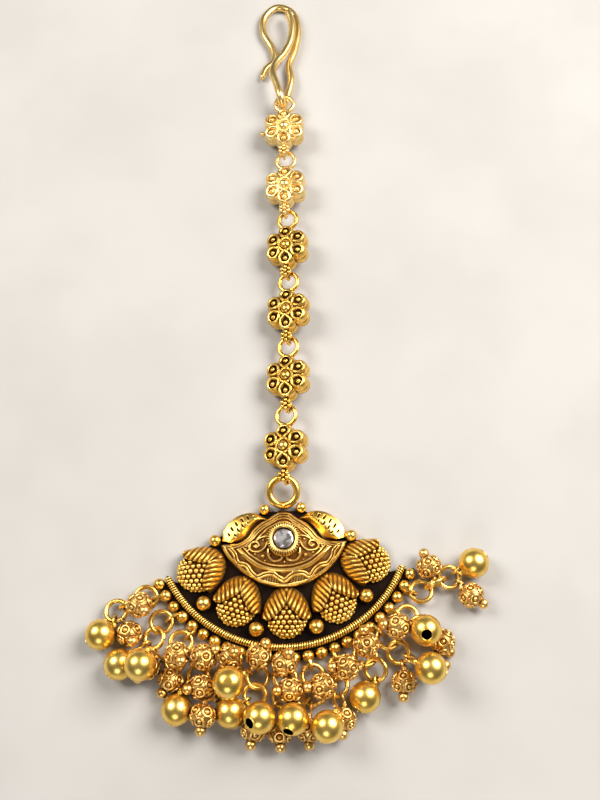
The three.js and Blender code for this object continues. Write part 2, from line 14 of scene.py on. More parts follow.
import bmesh
import bpy
import numpy as np
from mathutils import Matrix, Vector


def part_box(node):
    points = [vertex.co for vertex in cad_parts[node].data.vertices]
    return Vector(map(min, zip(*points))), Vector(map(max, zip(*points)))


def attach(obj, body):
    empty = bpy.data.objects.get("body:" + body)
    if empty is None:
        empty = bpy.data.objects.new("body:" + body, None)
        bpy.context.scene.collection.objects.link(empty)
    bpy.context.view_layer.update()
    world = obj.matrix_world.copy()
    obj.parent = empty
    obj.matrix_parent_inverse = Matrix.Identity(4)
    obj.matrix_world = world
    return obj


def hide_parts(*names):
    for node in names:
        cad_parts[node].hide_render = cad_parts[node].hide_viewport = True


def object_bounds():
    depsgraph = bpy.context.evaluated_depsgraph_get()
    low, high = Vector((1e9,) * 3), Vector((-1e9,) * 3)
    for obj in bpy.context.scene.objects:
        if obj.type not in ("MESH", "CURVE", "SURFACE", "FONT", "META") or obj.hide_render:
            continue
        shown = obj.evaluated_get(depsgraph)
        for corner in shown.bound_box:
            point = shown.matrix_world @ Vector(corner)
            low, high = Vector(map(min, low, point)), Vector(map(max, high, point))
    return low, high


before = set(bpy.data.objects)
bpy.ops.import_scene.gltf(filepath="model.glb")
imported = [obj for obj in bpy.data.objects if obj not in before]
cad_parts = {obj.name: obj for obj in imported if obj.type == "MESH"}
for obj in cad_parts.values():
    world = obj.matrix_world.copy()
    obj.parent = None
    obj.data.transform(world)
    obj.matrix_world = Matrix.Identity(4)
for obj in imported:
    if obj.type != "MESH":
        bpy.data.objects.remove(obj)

cad_low, cad_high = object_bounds()
print("CAD box in millimetres:", [round(x * 1000, 1) for x in (*cad_low, *cad_high)])

# %% [markdown]
# ## Where things are
# A jeweller lays out such a piece around its stone, so every place below is in millimetres from
# the centre of the stone, with X to the right, Y toward the hook and Z up from the table. The
# stone's own box in the frame says where that centre is.

# %% The layout's origin
MM = 0.001
stone_low, stone_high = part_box("stone")
ORIGIN = np.array([(stone_low.x + stone_high.x) / 2, (stone_low.y + stone_high.y) / 2, 0.0]) / MM
print("the stone's centre in the frame:", ORIGIN.round(2), "mm")

# %% Small vector helpers
UP = np.array([0.0, 0.0, 1.0])


def vec(*parts):
    return np.array(parts, float)


def unit(v):
    return v / np.linalg.norm(v)


def direction(heading, climb=0.0):
    """The unit vector with this heading about Z and this climb above the table, in degrees."""
    a, c = math.radians(heading), math.radians(climb)
    return vec(math.cos(c) * math.cos(a), math.cos(c) * math.sin(a), math.sin(c))


def turn(points, degrees, axis=UP):
    """The points turned about an axis through the origin."""
    a, k = math.radians(degrees), unit(np.asarray(axis, float))
    points = np.asarray(points, float)
    across = np.cross(k, points)
    along = (points @ k)[..., None] * k
    return points * math.cos(a) + across * math.sin(a) + along * (1 - math.cos(a))


def pose(points, axis, place, spin=0.0):
    """Takes points drawn along +Z at the origin, spins them, aims them along axis, moves them."""
    axis = unit(np.asarray(axis, float))
    side = unit(np.cross(axis, vec(0.31, 0.95, 0.0) if abs(axis[2]) > 0.5 else UP))
    frame_of = np.stack([side, np.cross(axis, side), axis])
    return turn(points, spin) @ frame_of + place


# %% [markdown]
# ## Shapes made by code
# Nearly everything in jewellery is one of a few things: wire bent along a line, small balls,
# things turned round an axis, and sheet with a relief pressed into it. Each is a grid of points
# with four-sided faces between them, so a few short functions make them all. A heap gathers many
# such shapes into one mesh, which keeps the list of objects as short as the real list of pieces.
# Each point also carries a number that says how deep in a hollow it lies. The metals read it and
# darken there, partly as the dark wash and partly as painted shade.

# %% A heap of shapes, and the piece made from it
class Heap:
    """Loose shapes gathered into one mesh. paints has the number of each face's material."""

    def __init__(self):
        self.points, self.faces, self.paints, self.hollow = [], [], [], []
        self.size = 0

    def add(self, shape, hollow=0.0):
        points, faces = shape
        points = np.asarray(points, float)
        self.points.append(points)
        self.faces.extend([tuple(i + self.size for i in face) for face in faces])
        self.paints.extend([0] * len(faces))
        self.hollow.append(np.broadcast_to(np.asarray(hollow, float), (len(points),)))
        self.size += len(points)
        return self

    def turned(self, degrees):
        self.points = [turn(p, degrees) for p in self.points]
        return self


def make(name, heap, materials, nodes, sharp=42.0):
    """Turns a heap into a piece that stands for some CAD nodes and rides on the root body.
    A rounder ball may stand a hair outside the plain solids' box, and is pressed back into it."""
    mesh = bpy.data.meshes.new(name)
    points = np.clip((np.vstack(heap.points) + ORIGIN) * MM, cad_low, cad_high)
    mesh.from_pydata(points.tolist(), [], heap.faces)
    for material in materials:
        mesh.materials.append(material)
    mesh.polygons.foreach_set("material_index", heap.paints)
    hollow = mesh.attributes.new("hollow", "FLOAT", "POINT")
    hollow.data.foreach_set("value", np.concatenate(heap.hollow).astype(np.float32))
    shell = bmesh.new()
    shell.from_mesh(mesh)
    bmesh.ops.recalc_face_normals(shell, faces=shell.faces)
    triangles = sum(len(face.verts) - 2 for face in shell.faces)
    shell.to_mesh(mesh)
    shell.free()
    mesh.shade_smooth()
    mesh.set_sharp_from_angle(angle=math.radians(sharp))
    piece = bpy.data.objects.new(name, mesh)
    bpy.context.scene.collection.objects.link(piece)
    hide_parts(*nodes)
    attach(piece, "root")
    print(f"{name}: {triangles} triangles")
    return piece


# %% Skins, wires, balls and turned shapes
def skin(grid, around=False, over=False):
    """Four-sided faces over a grid of points; around joins its last column to its first, and
    over joins its last row to its first."""
    rows, columns = grid.shape[:2]
    index = np.arange(rows * columns).reshape(rows, columns)
    if over:
        index = np.vstack([index, index[:1]])
    if around:
        index = np.hstack([index, index[:, :1]])
    corners = [index[:-1, :-1], index[:-1, 1:], index[1:, 1:], index[1:, :-1]]
    faces = np.stack(corners, -1).reshape(-1, 4)
    return grid.reshape(-1, 3), [tuple(face) for face in faces.tolist()]


def closed_strip(grid):
    """A skin whose last row joins its first, with a cap on both its ends."""
    rows, columns = grid.shape[:2]
    points, faces = skin(grid, over=True)
    first = range(0, rows * columns, columns)
    return points, faces + [tuple(first), tuple(i + columns - 1 for i in first)]


def let_down(grid, z):
    """The grid's last and first rows once more, let down to the height z."""
    return grid[[-1, 0]] * vec(1, 1, 0) + vec(0, 0, z)


def tube(path, radius, sides=10, closed=False, up=None, round_ends=True):
    """A wire along a path. radius may differ from point to point, and up keeps it from twisting."""
    path = np.asarray(path, float)
    radius = np.broadcast_to(np.asarray(radius, float), (len(path),))
    if closed:
        along = np.roll(path, -1, 0) - np.roll(path, 1, 0)
    else:
        if round_ends:
            path, radius = rounded(path, radius)
        along = np.gradient(path, axis=0)
    along = along / np.linalg.norm(along, axis=1)[:, None]
    side = np.cross(along[0], vec(0.3, 0.2, 0.93))
    rows = []
    angles = np.linspace(0, 2 * math.pi, sides, endpoint=False)
    for place, ahead, size in zip(path, along, radius):
        if up is not None:
            side = up
        side = unit(side - ahead * (side @ ahead))
        other = np.cross(ahead, side)
        section = np.outer(np.cos(angles), side) + np.outer(np.sin(angles), other)
        rows.append(place + size * section)
    points, faces = skin(np.array(rows), around=True, over=closed)
    if not closed:
        last = len(points) - sides
        faces += [tuple(range(sides)), tuple(range(last, last + sides))]
    return points, faces


def rounded(path, radius):
    """Adds three smaller and smaller sections to each end of a wire."""
    head, tail = unit(path[0] - path[1]), unit(path[-1] - path[-2])
    steps = [30, 60, 82]
    start = [path[0] + head * radius[0] * math.sin(math.radians(a)) for a in reversed(steps)]
    end = [path[-1] + tail * radius[-1] * math.sin(math.radians(a)) for a in steps]
    small = [math.cos(math.radians(a)) for a in steps]
    sizes = [radius[0] * s for s in reversed(small)] + list(radius) + [radius[-1] * s for s in small]
    return np.array([*start, *path, *end]), np.array(sizes)


def circle(radius, axis, place, start=0.0, end=360.0, count=36):
    """Points on a circle, or on an arc of it."""
    whole = end - start >= 360
    angles = np.radians(np.linspace(start, end, count, endpoint=not whole))
    flat_points = np.stack([radius * np.cos(angles), radius * np.sin(angles), 0 * angles], -1)
    return pose(flat_points, axis, place)


def ring(radius, wire, axis, place, count=36, sides=10):
    return tube(circle(radius, axis, place, count=count), wire, sides, True, up=unit(axis))


def lathe(profile, count=32):
    """A closed shape turned about Z from (radius, height) rows; radius 0 closes it at a pole."""
    rows = [row for row in profile if row[0] > 0]
    angles = np.linspace(0, 2 * math.pi, count, endpoint=False)
    grid = np.array([[(r * math.cos(a), r * math.sin(a), z) for a in angles] for r, z in rows])
    points, faces = skin(grid, around=True)
    for row, at_end in ((profile[0], False), (profile[-1], True)):
        base = (len(rows) - 1) * count if at_end else 0
        pole = len(points)
        points = np.vstack([points, [(0.0, 0.0, row[1])]])
        faces += [(base + i, base + (i + 1) % count, pole) for i in range(count)]
    return points, faces


def arc_rows(radius, start, end, count):
    """(radius, height) rows on a circle; start and end are degrees from its top."""
    angles = np.radians(np.linspace(start, end, count))
    return [(radius * math.sin(a), radius * math.cos(a)) for a in angles]


def ball(radius, place, count=24, rows=14):
    profile = arc_rows(radius, 0, 180, rows + 1)
    profile[0], profile[-1] = (0, radius), (0, -radius)
    points, faces = lathe(profile, count)
    return pose(points, UP, place), faces


def icosphere():
    shell = bmesh.new()
    bmesh.ops.create_icosphere(shell, subdivisions=2, radius=1.0)
    points = np.array([v.co[:] for v in shell.verts])
    faces = [tuple(v.index for v in face.verts) for face in shell.faces]
    shell.free()
    return points, faces


GRAIN_POINTS, GRAIN_FACES = icosphere()


def grain(radius, place):
    """A granule: a tiny ball of melted metal."""
    return GRAIN_POINTS * radius + place, GRAIN_FACES


def smooth(points, steps=8):
    """A smooth line through the points, with this many steps to each span."""
    points = np.asarray(points, float)
    p = np.vstack([2 * points[:1] - points[1:2], points, 2 * points[-1:] - points[-2:-1]])
    line = []
    for i in range(1, len(p) - 2):
        a, b, c, d = p[i - 1:i + 3]
        t1 = np.linalg.norm(b - a) ** 0.5
        t2 = t1 + np.linalg.norm(c - b) ** 0.5
        t3 = t2 + np.linalg.norm(d - c) ** 0.5
        t = np.linspace(t1, t2, steps, endpoint=False)[:, None]
        ab = (t1 - t) / t1 * a + t / t1 * b
        bc = (t2 - t) / (t2 - t1) * b + (t - t1) / (t2 - t1) * c
        cd = (t3 - t) / (t3 - t2) * c + (t - t2) / (t3 - t2) * d
        abc = (t2 - t) / t2 * ab + t / t2 * bc
        bcd = (t3 - t) / (t3 - t1) * bc + (t - t1) / (t3 - t1) * cd
        line.append((t2 - t) / (t2 - t1) * abc + (t - t1) / (t2 - t1) * bcd)
    line.append(points[-1:])
    return np.vstack(line)


def wave(x, low, high):
    """0 below low, 1 above high, and a soft step between."""
    t = np.clip((x - low) / (high - low), 0, 1)
    return t * t * (3 - 2 * t)


print("a granule has", len(GRAIN_FACES), "faces")

# %% [markdown]
# ## The metals
# The gold here has two colours at least: warm yellow where fingers and polishing have rubbed it,
# and nearly black brown in the hollows, where the dark wash was left; the same dark colour also
# paints the shade that falls in the hollows. A flat gold would look like plastic. The material
# asks three things of each point: how shut in it is by its neighbours (ambient occlusion, which
# is where shade falls), the hollow number that the mesh carries, and a soft noise. Together they
# mix the dark wash and painted shade into the gold. A finer noise moves the roughness and gives a
# slight grain.

# %% Node helpers
def new_material(name):
    material = bpy.data.materials.new(name)
    material.use_nodes = True
    tree = material.node_tree
    shader = next(n for n in tree.nodes if n.type == "BSDF_PRINCIPLED")
    return material, tree, shader


def noise(tree, size, detail=3.0, roughness=0.55):
    """Noise whose features are about size millimetres wide."""
    place = tree.nodes.new("ShaderNodeTexCoord")
    made = tree.nodes.new("ShaderNodeTexNoise")
    made.inputs["Scale"].default_value = 1.0 / (size * MM)
    made.inputs["Detail"].default_value = detail
    made.inputs["Roughness"].default_value = roughness
    tree.links.new(place.outputs["Object"], made.inputs["Vector"])
    return made.outputs["Fac"]


def ramp(tree, value, low, high, start=0.0, end=1.0):
    """A soft step of a value: start below low, end above high."""
    made = tree.nodes.new("ShaderNodeMapRange")
    made.interpolation_type = "SMOOTHSTEP"
    made.inputs["From Min"].default_value = low
    made.inputs["From Max"].default_value = high
    made.inputs["To Min"].default_value = start
    made.inputs["To Max"].default_value = end
    tree.links.new(value, made.inputs["Value"])
    return made.outputs["Result"]


def maths(tree, what, a, b):
    made = tree.nodes.new("ShaderNodeMath")
    made.operation = what
    for socket, value in zip(made.inputs, (a, b)):
        if isinstance(value, (int, float)):
            socket.default_value = value
        else:
            tree.links.new(value, socket)
    return made.outputs[0]


def blend_colours(tree, factor, a, b):
    made = tree.nodes.new("ShaderNodeMix")
    made.data_type = "RGBA"
    tree.links.new(factor, made.inputs["Factor"])
    for socket, value in ((made.inputs[6], a), (made.inputs[7], b)):
        if isinstance(value, tuple):
            socket.default_value = (*value, 1.0)
        else:
            tree.links.new(value, socket)
    return made.outputs[2]


def shut_in(tree, distance):
    made = tree.nodes.new("ShaderNodeAmbientOcclusion")
    made.samples = 8
    made.inputs["Distance"].default_value = distance * MM
    return made.outputs["AO"]


def hollow_of(tree):
    made = tree.nodes.new("ShaderNodeAttribute")
    made.attribute_name = "hollow"
    return made.outputs["Fac"]


# %% The plated metals
def plated(name, light, deep, wash_and_shade, roughness, reach=0.7, open_at=0.8, grain_depth=0.015, soak=1.0):
    """Gold plating darkened in its hollows, partly as the dark antique finish and partly as painted
    shade where neighbours shut a point in. open_at says how open a point has to be to be polished
    bright and unshaded, reach is how far its neighbours count, in millimetres, and soak how much a
    hollow counts."""
    material, tree, shader = new_material(name)
    patches = noise(tree, 1.7, 4.0)
    fine = noise(tree, 0.16, 3.0, 0.6)
    # the hollow number and how shut in a point is darken it: partly the dark wash, partly painted shade
    hollow_dark = maths(tree, "MULTIPLY", hollow_of(tree), soak)
    openness = maths(tree, "SUBTRACT", shut_in(tree, reach), hollow_dark)
    openness = maths(tree, "ADD", openness, maths(tree, "MULTIPLY", patches, 0.16))
    rubbed_and_unshaded = ramp(tree, openness, open_at - 0.42, open_at + 0.08)
    gold = blend_colours(tree, ramp(tree, patches, 0.32, 0.68), deep, light)
    tree.links.new(blend_colours(tree, rubbed_and_unshaded, wash_and_shade, gold), shader.inputs["Base Color"])
    tree.links.new(ramp(tree, rubbed_and_unshaded, 0.0, 0.5, 0.85, 1.0), shader.inputs["Metallic"])
    shader.inputs["Specular IOR Level"].default_value = 0.2
    rough = maths(tree, "ADD", ramp(tree, rubbed_and_unshaded, 0.0, 1.0, 0.55, roughness),
                  maths(tree, "MULTIPLY", fine, 0.14))
    tree.links.new(rough, shader.inputs["Roughness"])
    bump = tree.nodes.new("ShaderNodeBump")
    bump.inputs["Strength"].default_value = 0.5
    bump.inputs["Distance"].default_value = grain_depth * MM
    tree.links.new(fine, bump.inputs["Height"])
    tree.links.new(bump.outputs["Normal"], shader.inputs["Normal"])
    return material


# the dark wash colours, which also paint the shade that falls in the hollows
WASH_AND_SHADE = (0.045, 0.015, 0.003)
WARM_WASH_AND_SHADE = (0.13, 0.045, 0.007)
ANTIQUE_GOLD = plated("antique_gold", (1.0, 0.67, 0.17), (0.82, 0.47, 0.085), WASH_AND_SHADE, 0.22)
BUD_GOLD = plated("bud_gold", (1.0, 0.70, 0.19), (0.88, 0.53, 0.10), WARM_WASH_AND_SHADE, 0.22, open_at=0.78)
COIL_GOLD = plated("coil_gold", (1.0, 0.74, 0.24), (0.88, 0.57, 0.13), WASH_AND_SHADE, 0.22, reach=0.4, open_at=0.80)
PLAQUE_GOLD = plated("plaque_gold", (1.0, 0.71, 0.23), (0.88, 0.54, 0.14), WARM_WASH_AND_SHADE, 0.25, open_at=0.86)
BEAD_GOLD = plated("bead_gold", (1.0, 0.66, 0.22), (0.82, 0.46, 0.12), WARM_WASH_AND_SHADE, 0.26, open_at=0.82)
PALE_GOLD = plated("pale_gold", (1.0, 0.78, 0.36), (0.90, 0.62, 0.22), (0.30, 0.14, 0.03), 0.27,
                   open_at=0.5, soak=0.6)
BRIGHT_GOLD = plated("bright_gold", (1.0, 0.75, 0.32), (0.90, 0.61, 0.21), (0.18, 0.08, 0.015), 0.24,
                     open_at=0.5)
BALL_GOLD = plated("ball_gold", (1.0, 0.71, 0.19), (0.88, 0.56, 0.11), (0.12, 0.045, 0.008), 0.25,
                   reach=0.9, open_at=0.60, grain_depth=0.005)
# near black: painted shade for the back plate and for the insides of the hollow balls
SHADE_BLACK = plated("shade_black", (0.016, 0.009, 0.006), (0.007, 0.005, 0.004), (0.004, 0.003, 0.002), 0.5,
                   open_at=0.7)
print("metals made:", [m.name for m in bpy.data.materials])

# %% [markdown]
# ## The camera, the table and the lights
# The ornament lies on a plain pale table and is seen from above, a little from its fringe's side.
# Metal shows mostly what it mirrors, so the lights matter as much as the gold: one large soft
# light on the right, a smaller one on the left, and a dim room between them give each ball two
# bright patches with a darker band between, which is what makes it read as polished metal. A
# weak low light in front picks out the edges of the relief.

# %% Camera
TILT = math.radians(20)
CAMERA_DISTANCE = 170.0
LOOK_AT = vec(2.53, 24.48, 0.0)


def in_frame(point):
    return (np.asarray(point, float) + ORIGIN) * MM


def aim(thing, place, target):
    """Puts a camera or lamp at place, looking at target; both in layout millimetres."""
    back = unit(np.asarray(place, float) - target)
    side = unit(np.cross(vec(0, 1, 0) if abs(back[1]) < 0.9 else UP, back))
    up = np.cross(back, side)
    thing.matrix_world = bpy_matrix(side, up, back, in_frame(place))


def bpy_matrix(x, y, z, place):
    return Matrix([(x[i], y[i], z[i], place[i]) for i in range(3)] + [(0, 0, 0, 1)])


camera_data = bpy.data.cameras.new("camera")
camera_data.lens = 45.9
camera_data.sensor_width = 36.0
camera_data.clip_start = 0.005
camera = bpy.data.objects.new("camera", camera_data)
bpy.context.scene.collection.objects.link(camera)
aim(camera, LOOK_AT + CAMERA_DISTANCE * vec(0, -math.sin(TILT), math.cos(TILT)), LOOK_AT)
bpy.context.scene.camera = camera
print("camera at", [round(x / MM) for x in camera.location], "mm")


# %% Table top
def table_top():
    half = 3.0
    mesh = bpy.data.meshes.new("table_top")
    corners = [(-half, -half, 0), (half, -half, 0), (half, half, 0), (-half, half, 0)]
    mesh.from_pydata(corners, [], [(0, 1, 2, 3)])
    material, tree, shader = new_material("pale_table")
    tone = ramp(tree, noise(tree, 30.0), 0.3, 0.7)
    colour = blend_colours(tree, tone, (0.43, 0.415, 0.395), (0.47, 0.455, 0.435))
    tree.links.new(colour, shader.inputs["Base Color"])
    shader.inputs["Roughness"].default_value = 0.85
    mesh.materials.append(material)
    floor = bpy.data.objects.new("table_top", mesh)
    bpy.context.scene.collection.objects.link(floor)


table_top()

# %% Soft lights
MIDDLE = vec(0, 25, 0)
LIGHTS = [
    # name, heading, climb, distance, size, watts
    ("key_right", 26, 48, 420, 290, 2.8),
    ("fill_left", 156, 48, 420, 210, 1.4),
    ("low_front", 262, 32, 450, 150, 0.4),
]


def soft_light(name, heading, climb, distance, size, watts):
    data = bpy.data.lights.new(name, "AREA")
    data.shape = "DISK"
    data.size = size * MM
    data.energy = watts
    data.color = (1.0, 0.97, 0.93)
    lamp = bpy.data.objects.new(name, data)
    bpy.context.scene.collection.objects.link(lamp)
    aim(lamp, MIDDLE + distance * direction(heading, climb), MIDDLE)


for row in LIGHTS:
    soft_light(*row)
room = bpy.data.worlds.new("room")
room.use_nodes = True
room.node_tree.nodes["Background"].inputs["Color"].default_value = (1.0, 0.97, 0.94, 1.0)
room.node_tree.nodes["Background"].inputs["Strength"].default_value = 0.13
bpy.context.scene.world = room
bpy.context.scene.view_settings.view_transform = "Standard"
print("lights:", [row[0] for row in LIGHTS])

# %% [markdown]
# ## The hook
# One piece of round wire, bent by hand: from its curled free end up the left side, over, down the
# right side, through the first link's ring, and back up to the top. A curve through a short list
# of bends gives that line, and a round section is swept along it. The free end is filed a little
# thinner, and both ends are rounded.

# %% Bend the hook
HOOK_WIRE = 0.68
HOOK_ROUTE = [
    (-4.5, 88.6, 0.8), (-3.9, 90.3, 0.7), (-2.4, 92.2, 0.7), (-2.7, 95.0, 0.7), (-4.4, 98.6, 0.7),
    (-4.3, 102.3, 0.7), (-1.9, 104.7, 0.7), (0.9, 103.6, 0.7), (2.1, 99.8, 0.7), (1.4, 94.2, 0.8),
    (0.5, 91.0, 1.0), (0.9, 87.6, 1.2), (0.2, 84.0, 1.25), (-0.3, 81.9, 1.4), (-0.6, 81.0, 2.65),
    (-1.0, 81.9, 3.9), (-1.7, 84.5, 3.9), (-2.5, 87.6, 3.5), (-1.9, 90.2, 3.0), (-0.5, 92.6, 2.5),
    (0.7, 95.6, 2.3), (1.0, 99.2, 2.3), (0.3, 102.2, 2.3),
]


def hook():
    route = smooth(HOOK_ROUTE, 12)
    share = np.linspace(0, 1, len(route))
    wire = HOOK_WIRE * (0.8 + 0.2 * wave(share, 0.0, 0.05))
    return Heap().add(tube(route, wire, 20))


make("hook_wire", hook(), [BRIGHT_GOLD], ["hook"])

# %% [markdown]
# ## The flower links
# Each link is two stamped flowers soldered back to back, with a ring above and a small upright
# loop below that carries a rosette of seven granules. The flower has six petals: a raised rim in
# the shape of a drop, a hollow inside it, and a granule near its outer end. The middle is a ball
# in a milled ring. All of it is relief, so one grid of points is lifted by a height rule, which
# is how the stamping die works too.

# %% Relief of one flower
PETALS = 6
LINK_RING, LINK_WIRE = 1.62, 0.34
LINK_LOOP, LOOP_WIRE = 1.0, 0.24
LOBE_OUT, LOBE_RADIUS = 2.33, 1.5
# a drop is a big and a small circle with straight sides: their radii, and how far apart they are
DROP_BIG, DROP_SMALL, DROP_LENGTH = 1.18, 0.42, 1.0


def drop_distance(u, v):
    """Distance from the edge of a drop shape, negative inside. u runs from its fat end's centre
    toward its thin end."""
    v = np.abs(v)
    lean = (DROP_BIG - DROP_SMALL) / DROP_LENGTH
    rise = math.sqrt(1 - lean * lean)
    along = u * rise - v * lean
    sides = v * rise + u * lean - DROP_BIG
    near = np.hypot(u, v) - DROP_BIG
    far = np.hypot(u - DROP_LENGTH, v) - DROP_SMALL
    return np.where(along < 0, near, np.where(along > rise * DROP_LENGTH, far, sides))


def flower_height(x, y):
    """Height of the flower above its mid-plane, and how hollow each point is."""
    r, angle = np.hypot(x, y), np.arctan2(y, x)
    step = 2 * math.pi / PETALS
    petal = np.round((angle - math.pi / 2) / step) * step + math.pi / 2
    u, v = r * np.cos(angle - petal), r * np.sin(angle - petal)
    base = 1.10 + 0.60 * (1 - (r / 3.85) ** 2)
    edge = drop_distance(2.52 - u, v)
    rim = np.sqrt(np.clip(1 - ((edge + 0.21) / 0.31) ** 2, 0, 1))
    inside = wave(-edge, 0.38, 0.54)
    seed = np.sqrt(np.clip(1 - (np.hypot(u - 2.62, v) / 0.48) ** 2, 0, 1))
    between = wave(edge, 0.0, 0.14)
    mill = np.sqrt(np.clip(1 - ((r - 1.2) / 0.27) ** 2, 0, 1)) * (0.78 + 0.22 * np.cos(22 * angle))
    dome = np.sqrt(np.clip(1 - (r / 0.82) ** 2, 0, 1))
    outside = wave(r, 1.25, 1.5)
    height = base + outside * (0.26 * rim - 0.32 * inside - 0.22 * between)
    height = np.maximum(height, base - 0.34 + 0.62 * seed)
    height = height - 0.12 * (1 - outside) + 0.27 * mill + 0.55 * dome
    # petal hollows, gaps between petals and the ring round the middle ball darken: dark wash and painted
    # shade
    hollow = outside * (0.30 * inside * (1 - wave(seed, 0.2, 0.7)) + 0.12 * between)
    hollow = hollow + 0.3 * wave(0.12 - np.abs(r - 0.88), 0.0, 0.12)
    return height, hollow


def flower_outline(angle):
    """How far the flower reaches in each direction: six overlapping round lobes."""
    step = 2 * math.pi / PETALS
    off = (angle - math.pi / 2 + step / 2) % step - step / 2
    return LOBE_OUT * np.cos(off) + np.sqrt(LOBE_RADIUS ** 2 - (LOBE_OUT * np.sin(off)) ** 2)


def flower_shell(columns=156, rows=30):
    """Both faces of a flower and the wall between them, with the seam of the two halves."""
    angle = np.linspace(0, 2 * math.pi, columns, endpoint=False)
    reach = flower_outline(angle)
    share = np.linspace(0.03, 1.0, rows)[:, None]
    x, y = share * reach * np.cos(angle), share * reach * np.sin(angle)
    height, hollow = flower_height(x, y)
    height = height - 0.16 * wave(share, 0.95, 1.0)
    wall = [(1.0, 0.80), (1.0, 0.30), (0.99, 0.12), (0.965, 0.03)]
    for out, z in wall:
        x = np.vstack([x, out * reach * np.cos(angle)])
        y = np.vstack([y, out * reach * np.sin(angle)])
        height = np.vstack([height, np.full(columns, z)])
        hollow = np.vstack([hollow, np.full(columns, 0.35 if z < 0.1 else 0.0)])
    front = np.stack([x, y, height], -1)
    back = front[::-1] * vec(1, 1, -1)
    points, faces = skin(np.vstack([front, back]), around=True)
    last = len(points) - columns
    middle = flower_height(np.array(0.0), np.array(0.0))[0]
    points = np.vstack([points, [(0, 0, middle), (0, 0, -middle)]])
    faces += [(i, (i + 1) % columns, last + columns) for i in range(columns)]
    faces += [(last + i, last + (i + 1) % columns, last + columns + 1) for i in range(columns)]
    depth = np.concatenate([hollow.ravel(), hollow[::-1].ravel(), [0, 0]])
    return (points, faces), depth


# %% A whole link, and the six of them
RING_AT, LOOP_AT = 5.5, -4.95
LINK_PITCH = RING_AT + LINK_RING - LOOP_AT
LINK_HEIGHT = 2.6
FIRST_LINK_Y = 75.65
LINKS = [
    # x, roll about the chain in degrees
    (-0.3, 4), (0.0, 10), (0.4, 18), (0.6, 20), (0.6, 20), (0.3, 20),
]


def rosette(heap):
    """Seven granules on a small disc, at the front of the link's lower loop."""
    disc = lathe([(0, 0.75), (0.8, 0.75), (0.95, 0.85), (0.95, 1.1), (0.85, 1.2), (0, 1.2)], 24)
    heap.add((disc[0] + vec(0, LOOP_AT, 0), disc[1]), hollow=0.3)
    heap.add(grain(0.37, vec(0, LOOP_AT, 1.42)))
    for k in range(PETALS):
        heap.add(grain(0.35, direction(30 + 60 * k) * 0.7 + vec(0, LOOP_AT, 1.28)))


def link(number):
    heap = Heap()
    shape, depth = flower_shell()
    heap.add(shape, hollow=depth)
    heap.add(ring(LINK_RING, LINK_WIRE + 0.05, UP, vec(0, RING_AT, 0), 44, 12))
    heap.add(ring(LINK_LOOP, LOOP_WIRE, direction(0), vec(0, LOOP_AT, 0), 28, 10))
    heap.add(tube([(0, -3.2, 0), (0, -4.0, 0)], 0.5, 12))
    rosette(heap)
    if number == 1:
        # the topmost flower has one stray granule on its edge
        heap.add(grain(0.46, vec(-3.95, -0.9, 0.2)))
    x, roll = LINKS[number - 1]
    place = vec(x, FIRST_LINK_Y - (number - 1) * LINK_PITCH, LINK_HEIGHT)
    heap.points = [turn(p, -roll, vec(0, 1, 0)) + place for p in heap.points]
    return heap


for number in range(1, 7):
    pale = number < 3
    make(f"flower_{number}", link(number), [PALE_GOLD if pale else ANTIQUE_GOLD],
         [f"flower_link_{number}"])

# %% [markdown]
# ## The pendant's back plate
# Everything on the pendant is soldered to one flat fan of sheet metal. Little of it shows, and
# what shows is painted near black, as painted shade, since it lies under everything else. It is
# the fan's outline, raised to a thickness, with a narrow bevel where the edge was filed.

# %% Fan frame and plate
FAN = vec(-0.1, 4.27, 0)
FAN_TURN = 2.0
FAN_MIDDLE = -91.0
PLATE_RADIUS, PLATE_THICKNESS = 22.2, 0.9
PLATE_FROM, PLATE_TO = -154.5, -23.2
PLATE_TOP = [
    (18.2, -4.6), (16.2, -5.0), (15.4, -3.4), (14.8, -1.6), (12.8, -0.8), (11.3, 0.4),
    (10.2, 1.3), (3.4, 5.3), (-3.4, 5.3), (-10.4, 1.3), (-11.5, 0.3), (-12.9, -0.8),
    (-14.9, -1.8), (-15.8, -3.6), (-16.5, -5.5), (-18.0, -5.3),
]
BEVEL_BELOW, BEVEL_ABOVE = 0.1, 0.12
PENDANT = ["pendant_body"]


def on_fan(radius, angle, z):
    """A point on a circle about the fan's centre."""
    return FAN + radius * direction(angle) + vec(0, 0, z)


def plate_outline():
    arc = [on_fan(PLATE_RADIUS, a, 0) for a in np.linspace(PLATE_FROM, PLATE_TO, 60)]
    return np.array([*arc, *[vec(x, y, 0) for x, y in PLATE_TOP]])


def slab(outline, levels):
    """A flat slab: levels are (height, how far the outline is pulled in)."""
    middle = outline.mean(0)
    inward = middle - outline
    inward = inward / np.linalg.norm(inward, axis=1)[:, None]
    rows = np.array([outline + inward * pull + vec(0, 0, z) for z, pull in levels])
    points, faces = skin(rows, around=True)
    count = len(outline)
    last = len(points) - count
    return points, faces + [tuple(range(count)), tuple(range(last, last + count))]


PLATE_LEVELS = [
    (0, BEVEL_BELOW), (BEVEL_BELOW, 0),
    (PLATE_THICKNESS - BEVEL_ABOVE, 0), (PLATE_THICKNESS, BEVEL_ABOVE),
]
plate = Heap().add(slab(plate_outline(), PLATE_LEVELS))
# the plate's near-black colour is painted shade under the pieces on it
make("back_plate", plate.turned(FAN_TURN), [SHADE_BLACK], PENDANT)

# %% [markdown]
# ## The coiled rim
# The rim of the fan is fine wire wound round a bar like a spring, then bent to the arc. Modelling
# the real winding costs few faces and catches the light as the real one does, so it is a true
# helix and not a bumpy bar.

